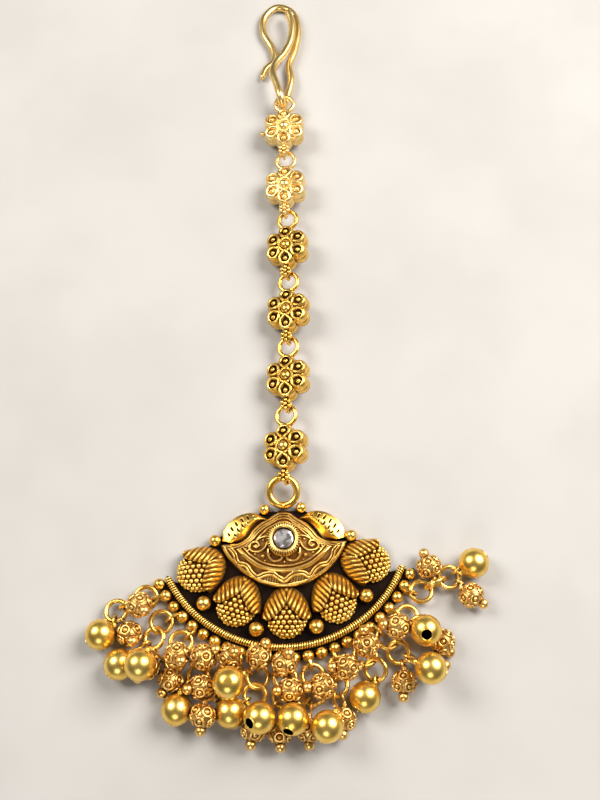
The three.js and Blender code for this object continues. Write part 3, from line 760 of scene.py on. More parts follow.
# %% Wind the rim
COIL_RADIUS, COIL_HEIGHT = 20.27, 1.45
COIL_FROM, COIL_TO = -153.2, -24.4
COIL_TURNS, STEPS_PER_TURN = 118, 12
COIL_WIRE, COIL_OUTSIDE, COIL_BAR = 0.155, 0.6, 0.34


def coil():
    count = COIL_TURNS * STEPS_PER_TURN
    share = np.linspace(0, 1, count)
    angle = COIL_FROM + (COIL_TO - COIL_FROM) * share
    phase = share * COIL_TURNS * 2 * math.pi
    winding = COIL_OUTSIDE - COIL_WIRE
    path = [on_fan(COIL_RADIUS + winding * math.cos(p), a, COIL_HEIGHT + winding * math.sin(p))
            for a, p in zip(angle, phase)]
    core = [on_fan(COIL_RADIUS, a, COIL_HEIGHT) for a in angle[::28]]
    heap = Heap().add(tube(path, COIL_WIRE, 6))
    # the bar inside the winding is darkened by its hollow number: dark wash and painted shade
    return heap.add(tube(core, COIL_BAR, 8), hollow=0.6)


make("coiled_rim", coil().turned(FAN_TURN), [COIL_GOLD], PENDANT, sharp=80)

# %% [markdown]
# ## Beads round the edge
# Outside the coil runs a row of plain balls, and below them a row of small upright loops, from
# which the fringe hangs. Larger balls fill the gaps between the buds. Each ball was a drop of
# molten metal, so no two are quite alike: the sizes differ by a few hundredths.

# %% Balls and loops
GRANULE_COUNT, GRANULE_PITCH = 24, 5.5
GRANULE_RADIUS, GRANULE_CIRCLE, GRANULE_HEIGHT = 0.94, 21.85, 0.98
BIG_BALLS = [
    # x, y, z, radius
    (-12.6, -9.0, 1.7, 1.15), (-4.6, -13.2, 1.7, 1.15),
    (4.6, -13.1, 1.7, 1.15), (12.5, -8.7, 1.7, 1.1),
    (-2.9, 5.6, 1.2, 0.87), (2.9, 5.7, 1.2, 0.87),
    (-10.8, 0.8, 1.3, 0.95), (10.6, 0.9, 1.3, 0.95),
]
LOOP_COUNT, LOOP_PITCH = 13, 9.6
EDGE_LOOP, EDGE_LOOP_WIRE, EDGE_LOOP_CIRCLE, EDGE_LOOP_HEIGHT = 1.05, 0.25, 23.05, 1.3
# how far each loop, and the jump ring in it, is swung away from the fan's own radius, in degrees
SWING = [-40, -25, -15, -10, -5, 0, 0, 0, 5, 10, 15, 25, 40]


def loop_angle(i):
    return FAN_MIDDLE + 0.3 + (i - (LOOP_COUNT - 1) / 2) * LOOP_PITCH


def edge_balls():
    heap = Heap()
    first = FAN_MIDDLE + 1.4 - GRANULE_PITCH * (GRANULE_COUNT - 1) / 2
    for i in range(GRANULE_COUNT):
        size = GRANULE_RADIUS * (1 + 0.03 * math.sin(i * 2.4))
        place = on_fan(GRANULE_CIRCLE, first + i * GRANULE_PITCH, GRANULE_HEIGHT)
        heap.add(ball(size, place, count=20, rows=12))
    return heap


def filling_balls():
    heap = Heap()
    for x, y, z, radius in BIG_BALLS:
        heap.add(ball(radius, vec(x, y, z), count=26, rows=16))
        # the stem under each ball is darkened by its hollow number: dark wash and painted shade
        heap.add(tube([(x, y, 0.6), (x, y, z - radius * 0.75)], radius * 0.6, 12), hollow=0.5)
    return heap


def edge_loops():
    heap = Heap()
    for i, swing in enumerate(SWING):
        axis = direction(loop_angle(i) + 90 + swing * 0.45)
        place = on_fan(EDGE_LOOP_CIRCLE, loop_angle(i), EDGE_LOOP_HEIGHT)
        heap.add(ring(EDGE_LOOP, EDGE_LOOP_WIRE, axis, place, 24, 8))
    return heap


for shapes in (edge_balls, filling_balls, edge_loops):
    make(shapes.__name__, shapes().turned(FAN_TURN), [ANTIQUE_GOLD], PENDANT)

# %% [markdown]
# ## The buds
# Five flower buds lie on the fan. Each has two ribbed leaves that meet in a point like a hood,
# and under the hood a low dome covered in granules. The leaves are ruled surfaces between an
# outer and an inner line, with the ribs as a wave across them. The granules sit on the dome in
# the close six-sided packing that balls fall into by themselves.

# %% One leaf of a hood
BUDS = [
    # x, y, direction in which the granulated half points
    (-13.1, -3.7, 212), (-7.4, -8.9, 251), (0.1, -10.9, 269),
    (7.6, -8.9, 289), (12.8, -3.3, 341),
]
HOOD_OUTER = [(-4.3, 0.0), (-3.6, 1.7), (-2.1, 3.0), (-0.3, 3.7), (0.7, 3.9)]
HOOD_INNER = [(-1.2, 0.0), (-0.1, 1.1), (0.8, 2.1), (1.2, 3.0), (0.7, 3.9)]
RIB_PITCH = 0.69
RIB_LEAN = math.radians(22)


def flat_line(rows, count):
    """A smooth line through (x, y) rows, as evenly spaced points."""
    line = smooth([(x, y, 0) for x, y in rows], 12)
    run = np.concatenate([[0], np.cumsum(np.linalg.norm(np.diff(line, axis=0), axis=1))])
    even = np.linspace(0, run[-1], count)
    return np.stack([np.interp(even, run, line[:, k]) for k in range(3)], -1)


def hood_leaf(side, columns=140, rows=14):
    """side is 1 for the leaf on +Y and -1 for its twin."""
    outer, inner = flat_line(HOOD_OUTER, columns), flat_line(HOOD_INNER, columns)
    share = np.linspace(0, 1, rows)[:, None, None]
    grid = outer * (1 - share) + inner * share
    x, y = grid[..., 0], grid[..., 1]
    across = x * math.sin(RIB_LEAN) + y * math.cos(RIB_LEAN)
    rib = (0.5 + 0.5 * np.cos(2 * math.pi * across / RIB_PITCH)) ** 0.9
    s = share[..., 0]
    arch = np.sin(np.radians(90 * np.clip(s * 1.15, 0, 1))) ** 0.75
    tip = wave(np.linspace(1, 0, columns), 0.0, 0.12)[None, :]
    seam = wave(np.linspace(0, 1, columns), 0.0, 0.05)[None, :]
    z = 1.25 + 1.85 * arch * (0.35 + 0.65 * tip) + 0.3 * (rib - 1) * wave(s, 0.0, 0.08)
    z = z - 0.22 * (1 - seam) - 0.2 * wave(s, 0.9, 1.0)
    grid[..., 2] = z
    hollow = 0.55 * (1 - rib) ** 1.5 + 0.3 * (1 - seam)
    low_in = grid[-1:] * vec(1, 1, 0) + vec(-0.15, 0, 1.2)
    floor_in = grid[-1:] * vec(1, 1, 0) + vec(-0.3, 0, 0.5)
    floor_out = grid[:1] * vec(1, 1, 0) + vec(0, 0, 0.5)
    whole = np.vstack([floor_out, grid, low_in, floor_in])
    # the rows under the hood are darkened more: dark wash and painted shade
    depth = np.vstack([hollow[:1], hollow, hollow[-1:] + 0.4, hollow[-1:] + 0.5])
    whole = whole * vec(1, side, 1)
    return closed_strip(whole), depth.ravel()


# %% The granulated dome, and the five buds
DOME_CENTRE, DOME_RADIUS, DOME_HEIGHT = 0.7, 2.9, 1.65
DOME_FOOT, PATTERN_REACH = 0.75, 3.45
GRANULE_STEP, BUD_GRAIN = 0.735, 0.385
# the hood's inner edge, as the place along the bud for each distance from its middle line
INNER_EDGE = ([y for _, y in HOOD_INNER], [x for x, _ in HOOD_INNER])


def granulated_dome(heap):
    bends = np.radians([0, 12, 25, 40, 55, 70, 85])
    profile = [(DOME_RADIUS * math.sin(a), DOME_FOOT + DOME_HEIGHT * math.cos(a)) for a in bends]
    profile[0] = (0, DOME_FOOT + DOME_HEIGHT)
    dome_points, dome_faces = lathe([*profile, (DOME_RADIUS, 0.5), (0, 0.5)], 40)
    # the dome between the granules is darkened by its hollow number: dark wash and painted shade
    heap.add((dome_points * 0.985 + vec(DOME_CENTRE, 0, 0), dome_faces), hollow=0.45)
    for row in range(-6, 7):
        for column in range(-6, 7):
            u = (column + 0.5 * (row % 2)) * GRANULE_STEP
            v = row * GRANULE_STEP * 0.866
            flat_reach = math.hypot(u, v)
            if flat_reach > PATTERN_REACH:
                continue
            # the pattern is wrapped over the dome, so its outer rows lean outward
            angle = flat_reach / PATTERN_REACH * math.radians(84)
            heading = math.atan2(u, v)
            out = DOME_RADIUS * math.sin(angle)
            place = vec(DOME_CENTRE + out * math.cos(heading), out * math.sin(heading),
                        DOME_FOOT + 0.05 + DOME_HEIGHT * math.cos(angle))
            place = place + 0.025 * vec(math.sin(7 * u + 3 * v), math.sin(5 * v - 4 * u), 0)
            if place[0] < np.interp(abs(place[1]), *INNER_EDGE) + 0.1:
                continue
            heap.add(grain(BUD_GRAIN * (1 + 0.04 * math.sin(3 * u + 5 * v)), place))


def bud(x, y, heading):
    heap = Heap()
    for side in (1, -1):
        leaf_shape, depth = hood_leaf(side)
        heap.add(leaf_shape, hollow=depth)
    granulated_dome(heap)
    heap.points = [turn(p, heading) + vec(x, y, 0) for p in heap.points]
    return heap


for number, (x, y, heading) in enumerate(BUDS, 1):
    shape = bud(x, y, heading).turned(FAN_TURN)
    make(f"bud_{number}", shape, [BUD_GOLD], PENDANT, sharp=65)

# %% [markdown]
# ## The two half leaves
# Behind the plaque, a smooth leaf looks out on each side. It is a plain domed blade with a soft
# ridge, and the maker struck two rows of small dashes and dots into it with a punch.

# %% Leaves behind the plaque
LEAF_OUTER = [(2.4, 4.0), (4.4, 5.0), (6.4, 4.9), (8.2, 3.9), (9.4, 2.3), (9.7, 0.7)]
LEAF_INNER = [(2.4, 4.0), (3.8, 3.5), (4.8, 2.7), (5.6, 1.6), (6.4, 0.6), (7.8, 0.1)]
PUNCHES = [
    # x, y, length of the dash
    (4.6, 4.3, 0.1), (5.6, 4.2, 0.3), (6.5, 3.9, 0.3),
    (7.4, 3.3, 0.3), (8.1, 2.5, 0.3), (8.6, 1.6, 0.2),
    (5.6, 3.3, 0.1), (6.4, 2.9, 0.3), (7.1, 2.2, 0.3), (7.6, 1.4, 0.2),
]


def punched(x, y):
    """How deep the punch marks are at each point."""
    marks = np.zeros_like(x)
    ahead = direction(58)
    for px, py, length in PUNCHES:
        dx, dy = x - px, y - py
        along = dx * ahead[0] + dy * ahead[1]
        off = dx * ahead[1] - dy * ahead[0]
        mark = (1 - wave(np.abs(off), 0.06, 0.16)) * (1 - wave(np.abs(along), length, length + 0.12))
        marks = np.maximum(marks, mark)
    return marks


def half_leaf(side, columns=130, rows=44):
    outer, inner = flat_line(LEAF_OUTER, columns), flat_line(LEAF_INNER, columns)
    share = np.linspace(0, 1, rows)[:, None, None]
    grid = outer * (1 - share) + inner * share
    s = share[..., 0]
    dome = wave(s, -0.5, 0.35) * 0.75 + 0.25 * wave(s, 0.2, 0.62) - 0.8 * wave(s, 0.62, 1.0)
    marks = punched(grid[..., 0], grid[..., 1])
    width = np.linalg.norm(outer - inner, axis=1)[None, :]
    grid[..., 2] = 0.85 + dome * np.minimum(1.2, 0.6 * width) - 0.16 * marks
    lip = wave(s, 0.72, 0.95)
    whole = np.vstack([grid, let_down(grid, 0.4)]) * vec(side, 1, 1)
    hollow = 0.8 * marks + 0.35 * lip
    depth = np.vstack([hollow, hollow[-1:], hollow[:1]])
    return Heap().add(closed_strip(whole), hollow=depth.ravel())


for name, side in (("leaf_left", -1), ("leaf_right", 1)):
    shape = half_leaf(side).turned(FAN_TURN)
    make(name, shape, [ANTIQUE_GOLD], PENDANT, sharp=60)

# %% [markdown]
# ## The plaque
# The eye-shaped plaque is cast, and its pattern was first built in wax from thin threads: a wavy
# double thread along the border, a smooth rim like an eyelid, and scrolls with tiny granules in
# the corners. So the relief is made the same way. Each thread is a smooth line, and a point of
# the grid is lifted by how near it lies to the line, with a round profile.

# %% Outline of the plaque
PLAQUE_UPPER = [
    (-9.9, 0.0), (-8.6, 0.1), (-6.9, 0.25), (-5.8, 0.95), (-4.9, 2.2), (-3.8, 3.2), (-2.3, 4.0),
    (-1.1, 4.75), (0.0, 5.0), (1.1, 4.75), (2.3, 3.9), (3.7, 3.0), (4.7, 2.0), (5.5, 0.9),
    (6.7, 0.2), (8.5, 0.05), (9.9, 0.0),
]
PLAQUE_LOWER = [
    (-9.9, 0.0), (-9.2, -1.5), (-8.1, -2.9), (-6.8, -4.2), (-5.3, -5.3), (-3.6, -6.2),
    (-1.8, -6.75), (0.0, -6.95), (1.8, -6.75), (3.6, -6.3), (5.4, -5.4), (6.9, -4.3), (8.2, -2.9),
    (9.2, -1.5), (9.9, 0.0),
]


def by_x(rows, x):
    line = smooth([(a, b, 0) for a, b in rows], 10)
    return np.interp(x, line[:, 0], line[:, 1])


def nearness(x, y, line, reach):
    """1 on a line and 0 at reach from it, with the round profile of a thread."""
    line = np.asarray(line)[:, :2]
    low, high = line.min(0) - reach, line.max(0) + reach
    near = (x > low[0]) & (x < high[0]) & (y > low[1]) & (y < high[1])
    points = np.stack([x[near], y[near]], -1)
    start, span = line[:-1], np.diff(line, axis=0)
    best = np.full(len(points), np.inf)
    for a, d in zip(start, span):
        t = np.clip(((points - a) @ d) / max(d @ d, 1e-9), 0, 1)
        best = np.minimum(best, np.hypot(*(points - a - t[:, None] * d).T))
    out = np.zeros_like(x)
    out[near] = np.sqrt(np.clip(1 - (best / reach) ** 2, 0, 1))
    return out


# %% Threads of the plaque
BORDER_WAVE = [
    (-8.5, -0.55), (-7.7, -1.7), (-7.25, -3.0), (-6.0, -3.45), (-5.2, -4.6), (-4.3, -5.3),
    (-3.1, -5.0), (-1.9, -4.95), (-1.0, -5.55), (-0.1, -6.0), (0.7, -5.5), (1.6, -5.0),
    (2.9, -5.0), (3.9, -5.4), (4.6, -4.6), (5.4, -3.9), (6.7, -3.5), (7.4, -2.7), (7.8, -1.6),
    (8.5, -0.7),
]
BORDER_TOP = [
    (-8.5, -0.55), (-6.8, -0.15), (-5.4, 0.75), (-4.6, 1.8), (-3.4, 2.85), (-2.1, 3.5),
    (-1.0, 4.2), (0.0, 4.45), (1.0, 4.2), (2.0, 3.4), (3.2, 2.6), (4.3, 1.6), (5.1, 0.6),
    (6.5, -0.15), (8.5, -0.7),
]
INNER_TOP = [
    (-7.3, -0.95), (-6.1, -0.4), (-4.9, 0.6), (-4.0, 1.6), (-2.9, 2.5), (-1.9, 3.0), (-0.9, 3.6),
    (0.0, 3.8), (0.9, 3.6), (1.8, 2.9), (2.8, 2.2), (3.8, 1.4), (4.7, 0.4), (6.0, -0.4),
    (7.3, -0.95),
]
EYELID = [
    (-7.0, -1.0), (-5.6, -2.5), (-3.8, -3.75), (-1.9, -4.35), (0.0, -4.55), (2.0, -4.35),
    (3.9, -3.7), (5.6, -2.45), (7.0, -1.0),
]
EYE_THREAD = [
    (-6.3, -0.75), (-5.2, -2.0), (-3.6, -3.1), (-1.8, -3.7), (0.0, -3.85), (1.8, -3.7),
    (3.6, -3.1), (5.2, -2.0), (6.3, -0.75),
]
SIDE_SCROLL = [
    (2.5, 0.0), (2.9, -0.9), (3.8, -1.5), (4.9, -1.4), (5.4, -0.7), (5.0, 0.0), (4.2, 0.05),
    (3.9, -0.5), (4.3, -0.85), (4.65, -0.6),
]
LOW_SCROLL = [
    (2.5, -1.2), (2.4, -2.3), (1.8, -3.05), (0.9, -3.1), (0.35, -2.7), (0.55, -2.15), (1.0, -2.2),
]
UPPER_THREAD = [(2.6, 0.9), (3.5, 0.75), (4.3, 0.3), (5.0, -0.1), (5.9, -0.55)]
BROW = [
    (-4.2, 0.5), (-3.3, 1.4), (-2.6, 2.1), (-1.7, 2.6), (-0.8, 3.0), (0.0, 3.15), (0.8, 3.0),
    (1.7, 2.6), (2.6, 2.0), (3.3, 1.3), (4.2, 0.5),
]
PLAQUE_GRAINS = [
    # x, y, radius
    (4.35, -0.45, 0.2), (3.3, -2.3, 0.3), (2.2, -2.0, 0.16), (4.5, -1.9, 0.2), (5.6, -1.2, 0.18),
    (3.2, 0.3, 0.2), (3.8, 0.95, 0.17), (5.9, -0.85, 0.15), (0.0, -3.3, 0.2), (3.0, -3.0, 0.15),
]


def thread(rows):
    return smooth([(x, y, 0) for x, y in rows], 6)


def twin(rows):
    return [(-x, y) for x, y in rows]


def raise_thread(height, x, y, rows, reach, rise):
    """Lifts the relief along a thread, but never above a higher thread that is there already."""
    return np.maximum(height, rise * nearness(x, y, thread(rows), reach))


def beside(rows, by):
    """The line that runs beside a thread at this distance."""
    line = thread(rows)
    ahead = np.gradient(line[:, :2], axis=0)
    ahead = ahead / np.linalg.norm(ahead, axis=1)[:, None]
    return line[:, :2] + by * np.stack([-ahead[:, 1], ahead[:, 0]], -1)


def plaque_relief(x, y):
    """Height of the threads above the plaque's own dome."""
    relief = np.zeros_like(x)
    for rows in (BORDER_WAVE, BORDER_TOP):
        for by in (-0.2, 0.2):
            relief = np.maximum(relief, 0.38 * nearness(x, y, beside(rows, by), 0.18))
    relief = raise_thread(relief, x, y, INNER_TOP, 0.17, 0.34)
    relief = raise_thread(relief, x, y, BROW, 0.16, 0.30)
    relief = raise_thread(relief, x, y, EYELID, 0.34, 0.42)
    relief = raise_thread(relief, x, y, EYE_THREAD, 0.16, 0.30)
    for mirror in (lambda rows: rows, twin):
        relief = raise_thread(relief, x, y, mirror(SIDE_SCROLL), 0.21, 0.42)
        relief = raise_thread(relief, x, y, mirror(LOW_SCROLL), 0.18, 0.40)
        relief = raise_thread(relief, x, y, mirror(UPPER_THREAD), 0.15, 0.32)
    for gx, gy, radius in PLAQUE_GRAINS:
        for sx in (gx, -gx):
            near = np.clip(1 - np.hypot(x - sx, y - gy) ** 2 / radius ** 2, 0, 1)
            relief = np.maximum(relief, (radius + 0.18) * np.sqrt(near))
    return relief


def plaque_flutes(x, y):
    """Fine strokes between the wavy thread and the lower edge."""
    lean = x + 0.25 * np.abs(y)
    strokes = 0.5 + 0.5 * np.cos(lean * 2 * math.pi / 0.42)
    belt = wave(-y, 5.2, 5.45) * (1 - wave(np.abs(np.abs(x) - 2.0), 1.0, 1.5))
    return strokes * belt


# %% Build the plaque
PLAQUE_COLUMNS, PLAQUE_ROWS = 230, 132


def edge_distance(x, y):
    """How far each point lies inside the outline."""
    around = np.vstack([thread(PLAQUE_UPPER), thread(PLAQUE_LOWER)[::-1]])[:, :2]
    best = np.full(x.shape, np.inf)
    for a, b in zip(around[:-1], around[1:]):
        d = b - a
        t = np.clip(((x - a[0]) * d[0] + (y - a[1]) * d[1]) / max(d @ d, 1e-9), 0, 1)
        best = np.minimum(best, np.hypot(x - a[0] - t * d[0], y - a[1] - t * d[1]))
    return best


def plaque():
    # the columns stand closer together toward the two pointed ends
    bend = math.pi / 2 * 0.93
    x_line = 9.86 * np.sin(np.linspace(-1, 1, PLAQUE_COLUMNS) * bend) / math.sin(bend)
    top, low = by_x(PLAQUE_UPPER, x_line), by_x(PLAQUE_LOWER, x_line)
    share = np.linspace(0, 1, PLAQUE_ROWS)[:, None]
    x = np.broadcast_to(x_line, (PLAQUE_ROWS, PLAQUE_COLUMNS)).copy()
    y = low + (top - low) * share
    inside = edge_distance(x, y)
    relief = plaque_relief(x, y)
    border = np.sqrt(np.clip(1 - ((inside - 0.26) / 0.27) ** 2, 0, 1)) * 0.26
    relief = np.maximum(relief, border) + 0.1 * plaque_flutes(x, y)
    stipple = 0.5 + 0.5 * np.sin(x * 2 * math.pi / 0.41) * np.sin(y * 2 * math.pi / 0.37 + 0.8 * x)
    dome = 1.62 + 1.62 * (1 - (1 - np.clip(inside / 4.6, 0, 1)) ** 2)
    ground = (1 - wave(relief, 0.02, 0.22)) * wave(inside, 0.2, 0.5)
    z = dome + relief + 0.06 * stipple * ground - 0.14 * (1 - wave(inside, 0.0, 0.1))
    hollow = (0.55 - 0.12 * stipple) * ground
    grid = np.stack([x, y, z], -1)
    whole = np.vstack([grid, let_down(grid, 0.6)])
    depth = np.vstack([hollow, np.full((2, PLAQUE_COLUMNS), 0.2)])
    return Heap().add(closed_strip(whole), hollow=depth.ravel())


make("plaque", plaque().turned(FAN_TURN), [PLAQUE_GOLD], PENDANT, sharp=70)

# %% [markdown]
# ## The setting and its stone
# A short tube with a milled rim is soldered to the middle of the plaque, and the rim is pushed
# over the edge of a flat glass stone with a mirror foil behind it. The tube is drawn ring by ring,
# and in the milled rings the radius moves in and out around the circle.

# %% Milled bezel
MILLING = 40
BEZEL_ROWS = [
    # radius, height, how deep the milling is
    (2.56, 3.0, 0.0), (2.56, 4.2, 0.0), (2.46, 4.45, 0.3), (2.62, 4.65, 1.0),
    (2.68, 4.88, 1.0), (2.56, 5.12, 1.0), (2.32, 5.24, 0.8), (2.1, 5.28, 0.15),
    (1.92, 5.28, 0.0), (1.76, 5.2, 0.0), (1.70, 5.0, 0.0), (1.70, 4.3, 0.0),
]


def bezel():
    """Rows run from outside the foot, over the milled rim, down to the seat."""
    count = MILLING * 6
    angle = np.linspace(0, 2 * math.pi, count, endpoint=False)
    tooth = 0.5 + 0.5 * np.cos(MILLING * angle)
    grid, depth = [], []
    for radius, z, milled in BEZEL_ROWS:
        reach = radius - 0.14 * milled * (1 - tooth)
        x, y = reach * np.cos(angle), reach * np.sin(angle)
        grid.append(np.stack([x, y, z - 0.12 * milled * (1 - tooth)], -1))
        depth.append(0.45 * milled * (1 - tooth))
    # the foot, the groove under the milling and the seat under the stone darken: dark wash and painted
    # shade
    depth[0] = depth[0] + 0.5
    depth[2] = depth[2] + 0.4
    depth[-1] = depth[-1] + 0.4
    points, faces = skin(np.array(grid), around=True)
    last = len(points) - count
    faces += [tuple(range(count)), tuple(range(last, last + count))]
    return Heap().add((points, faces), hollow=np.concatenate(depth))


make("bezel", bezel().turned(FAN_TURN), [PLAQUE_GOLD], PENDANT, sharp=60)

# %% The stone
def foiled_glass():
    """Clear glass over a tarnished mirror foil: grey, with pale and dark patches and a hard gloss."""
    material, tree, shader = new_material("foiled_glass")
    patches = noise(tree, 1.3, 2.0)
    specks = noise(tree, 0.25, 3.0)
    grey = blend_colours(tree, ramp(tree, patches, 0.42, 0.58), (0.17, 0.155, 0.15), (0.62, 0.58, 0.57))
    colour = blend_colours(tree, ramp(tree, specks, 0.60, 0.75), grey, (0.30, 0.22, 0.14))
    tree.links.new(colour, shader.inputs["Base Color"])
    tree.links.new(ramp(tree, patches, 0.3, 0.7, 0.30, 0.16), shader.inputs["Roughness"])
    shader.inputs["Metallic"].default_value = 0.55
    shader.inputs["Coat Weight"].default_value = 1.0
    shader.inputs["Coat Roughness"].default_value = 0.03
    shader.inputs["IOR"].default_value = 1.52
    return material


def stone():
    """A flat-cut round: a low girdle of sixteen sides, a sloping crown and a flat table."""
    heap = Heap()
    sides = 16
    levels = [(1.50, 4.46), (1.52, 4.9), (1.50, 4.98), (1.12, 5.18)]
    rows = []
    for radius, z in levels:
        shift = 0.5 if z > 5.1 else 0.0
        angle = (np.arange(sides) + shift) * 2 * math.pi / sides
        rows.append(np.stack([radius * np.cos(angle), radius * np.sin(angle), np.full(sides, z)], -1))
    points, faces = skin(np.array(rows), around=True)
    faces += [tuple(range(sides)), tuple(range(3 * sides, 4 * sides))]
    return heap.add((points, faces))


make("glass_stone", stone(), [foiled_glass()], ["stone"], sharp=4)

# %% [markdown]
# ## The big ring
# One heavier ring joins the pendant to the chain. It is bent from round wire that thins toward
# both ends. The ends pass each other at the top of the plate and are soldered there to a bar.

# %% Bend the big ring
BIG_RING, BIG_WIRE, BIG_LOW = 2.2, 0.5, 1.3


def big_ring():
    lean = math.asin((LINK_HEIGHT - BIG_LOW) / (2 * BIG_RING))
    top_y = FIRST_LINK_Y - 5 * LINK_PITCH + LOOP_AT
    middle = vec(-0.15, top_y - BIG_RING * math.cos(lean), (LINK_HEIGHT + BIG_LOW) / 2)
    axis = vec(0, -math.sin(lean), math.cos(lean))
    up_ring = vec(0, math.cos(lean), math.sin(lean))
    share = np.linspace(0, 1, 72)
    angle = np.radians(-128 + 396 * share)
    end = wave(np.abs(share - 0.5), 0.40, 0.5)
    lift = (share - 0.5) * 0.62 * wave(np.abs(share - 0.5), 0.3, 0.5) * 2
    path = []
    for a, h in zip(angle, lift):
        out = math.cos(a) * vec(1, 0, 0) + math.sin(a) * up_ring
        path.append(middle + BIG_RING * out + axis * 0.55 * h)
    heap = Heap().add(tube(path, BIG_WIRE * (1.18 - 0.3 * end), 14, up=axis))
    foot = [(-0.8, 4.9, 0.95), (-0.15, 5.0, 0.95), (0.5, 4.9, 0.95)]
    # the bar under the ring is darkened by its hollow number: dark wash and painted shade
    return heap.add(tube(smooth(foot, 6), 0.45, 12, up=UP), hollow=0.8)


make("big_ring", big_ring(), [ANTIQUE_GOLD], PENDANT)

# %% [markdown]
# ## The fringe's jump rings
# From each edge loop hangs a chain of two jump rings, or three at the two ends of the fan. A jump
# ring is cut from a coil, so it has a fine cut where its ends meet. All of them lie loose, each
# in its own direction. The drops hold on to them with wire eyes, so their places are worked out
# first and used again below.

# %% Where the jump rings lie
TASSELS = [
    # links, heading of the last ring from the first, its height, its lean
    (3, 205, 1.4, 10), (2, 250, 1.7, 25), (2, 255, 1.6, 25), (2, 252, 1.6, 25), (2, 245, 1.9, 45),
    (2, 262, 1.4, 8), (2, 268, 1.4, 8), (2, 272, 1.4, 8), (2, 258, 1.4, 8), (2, 303, 1.6, 25),
    (2, 304, 1.6, 25), (2, 320, 1.6, 25), (3, 26, 1.4, 10),
]
# how far apart the middles of a loop's first and last ring are, without and with a third between
LINKED, LINKED_BY_THIRD = 2.64, 4.9
HELD_AT = 23.25


def tassel_rings(i):
    """Each ring as (place, axis, out), where out points away from what holds the ring."""
    links, heading, height, lean = TASSELS[i]
    out = direction(loop_angle(i) + FAN_TURN + SWING[i])
    line = direction(heading)
    first = turn(on_fan(HELD_AT, loop_angle(i), EDGE_LOOP_HEIGHT), FAN_TURN) + out * LINK_RING
    last = first + line * (LINKED_BY_THIRD if links == 3 else LINKED)
    last[2] = height
    rings = [(first, turn(UP, -8, line), out), (last, turn(UP, lean, line), line)]
    if links == 3:
        between = (first + last) / 2
        between[2] = LINK_RING + LINK_WIRE + 0.02
        rings.append((between, turn(UP, 88, line), line))
    return rings


RINGS = [tassel_rings(i) for i in range(LOOP_COUNT)]


def jump_ring(place, axis, cut):
    """A ring of wire with a fine cut at the angle cut."""
    gap = 2.2
    path = circle(LINK_RING, axis, place, cut + gap, cut + 360 - gap - 0.001, 44)
    return tube(path, LINK_WIRE + 0.03, 12, up=unit(axis), round_ends=False)


for i, rings in enumerate(RINGS):
    heap = Heap()
    for k, (place, axis, out) in enumerate(rings):
        heap.add(jump_ring(place, axis, (137 * (i * 3 + k)) % 360))
    node = f"bead_tassel_{i + 1:02d}"
    make(f"jump_rings_{i + 1:02d}", heap, [ANTIQUE_GOLD], [node], sharp=60)

# %% [markdown]
# ## How a drop hangs
# Every drop ends in a wire that is bent into an eye round a jump ring and then wound two or three
# times round its own neck, as one closes a wrapped loop with pliers. The eye goes to the point of
# the ring that is nearest to the drop, unless the drop says at which turn of the ring it hangs.

# %% Wrapped necks
HOLD_TURNS = range(-110, 111, 10)
HOLD_LOWEST = 1.25
EYE_WIRE, WRAP_WIRE, WRAPS = 0.2, 0.13, 2.6


def hold_on(ring_row, neck, wanted):
    """The point of a ring's wire where a drop's eye sits."""
    place, axis, out = ring_row
    out = unit(out - axis * (out @ axis))
    side = np.cross(axis, out)
    best = None
    for degrees in HOLD_TURNS:
        a = math.radians(degrees)
        point = place + LINK_RING * (math.cos(a) * out + math.sin(a) * side)
        if wanted is None:
            cost = np.linalg.norm(point - neck) + 5 * max(0.0, HOLD_LOWEST - point[2])
        else:
            cost = abs(degrees - wanted)
        if best is None or cost < best[0]:
            best = (cost, point)
    return best[1]


def hang(heap, middle, axis, radius, ring_row, wanted, eye, shift):
    """Adds a drop's eye, its neck and the windings round the neck. shift is how far the eye's
    middle lies off the ring's wire, toward the drop."""
    hold = hold_on(ring_row, middle - axis * radius, wanted)
    neck, out = middle - axis * (radius - 0.15), middle - axis * (radius + 0.35)
    along = unit(np.cross(ring_row[1], hold - ring_row[0]))
    away = out - hold
    side = unit(away - along * (away @ along))
    centre = hold + side * shift
    joint = centre + side * eye
    heap.add(ring(eye, EYE_WIRE, along, centre, 26, 9))
    heap.add(tube(smooth([neck, out, joint], 6), EYE_WIRE, 9))
    span = np.linspace(0, 1, 40)
    winding = smooth([middle - axis * (radius - 0.05), out, out + (joint - out) * 0.45], 20)
    run = np.linspace(0, 1, len(winding))
    spine = np.stack([np.interp(span * 0.8, run, winding[:, k]) for k in range(3)], -1)
    ahead = unit(out - neck)
    first = unit(np.cross(ahead, vec(0.2, 0.5, 0.84)))
    second = np.cross(ahead, first)
    phase = span * WRAPS * 2 * math.pi
    around = np.outer(np.cos(phase), first) + np.outer(np.sin(phase), second)
    heap.add(tube(spine + around * (EYE_WIRE + 0.12), WRAP_WIRE, 6))


# %% [markdown]
# ## The studded beads
# The small beads are cast: a ball with two staggered rows of five studs, each stud a ring with a
# dot in it, smaller dots round its waist and near its ends, and a larger granule at its tip. The
# ball between the studs is darker. Each is drawn along +Z and then spun and aimed, so that no two
# show the same side.

# %% One studded bead
BEAD_RADIUS, BEAD_BALL, BEAD_TIP = 1.9, 1.75, 0.84
STUD, STUD_WIRE, STUD_DOT, SMALL_DOT = 0.66, 0.2, 0.40, 0.19
BEAD_NECK, BEAD_EYE = 1.66, 0.62


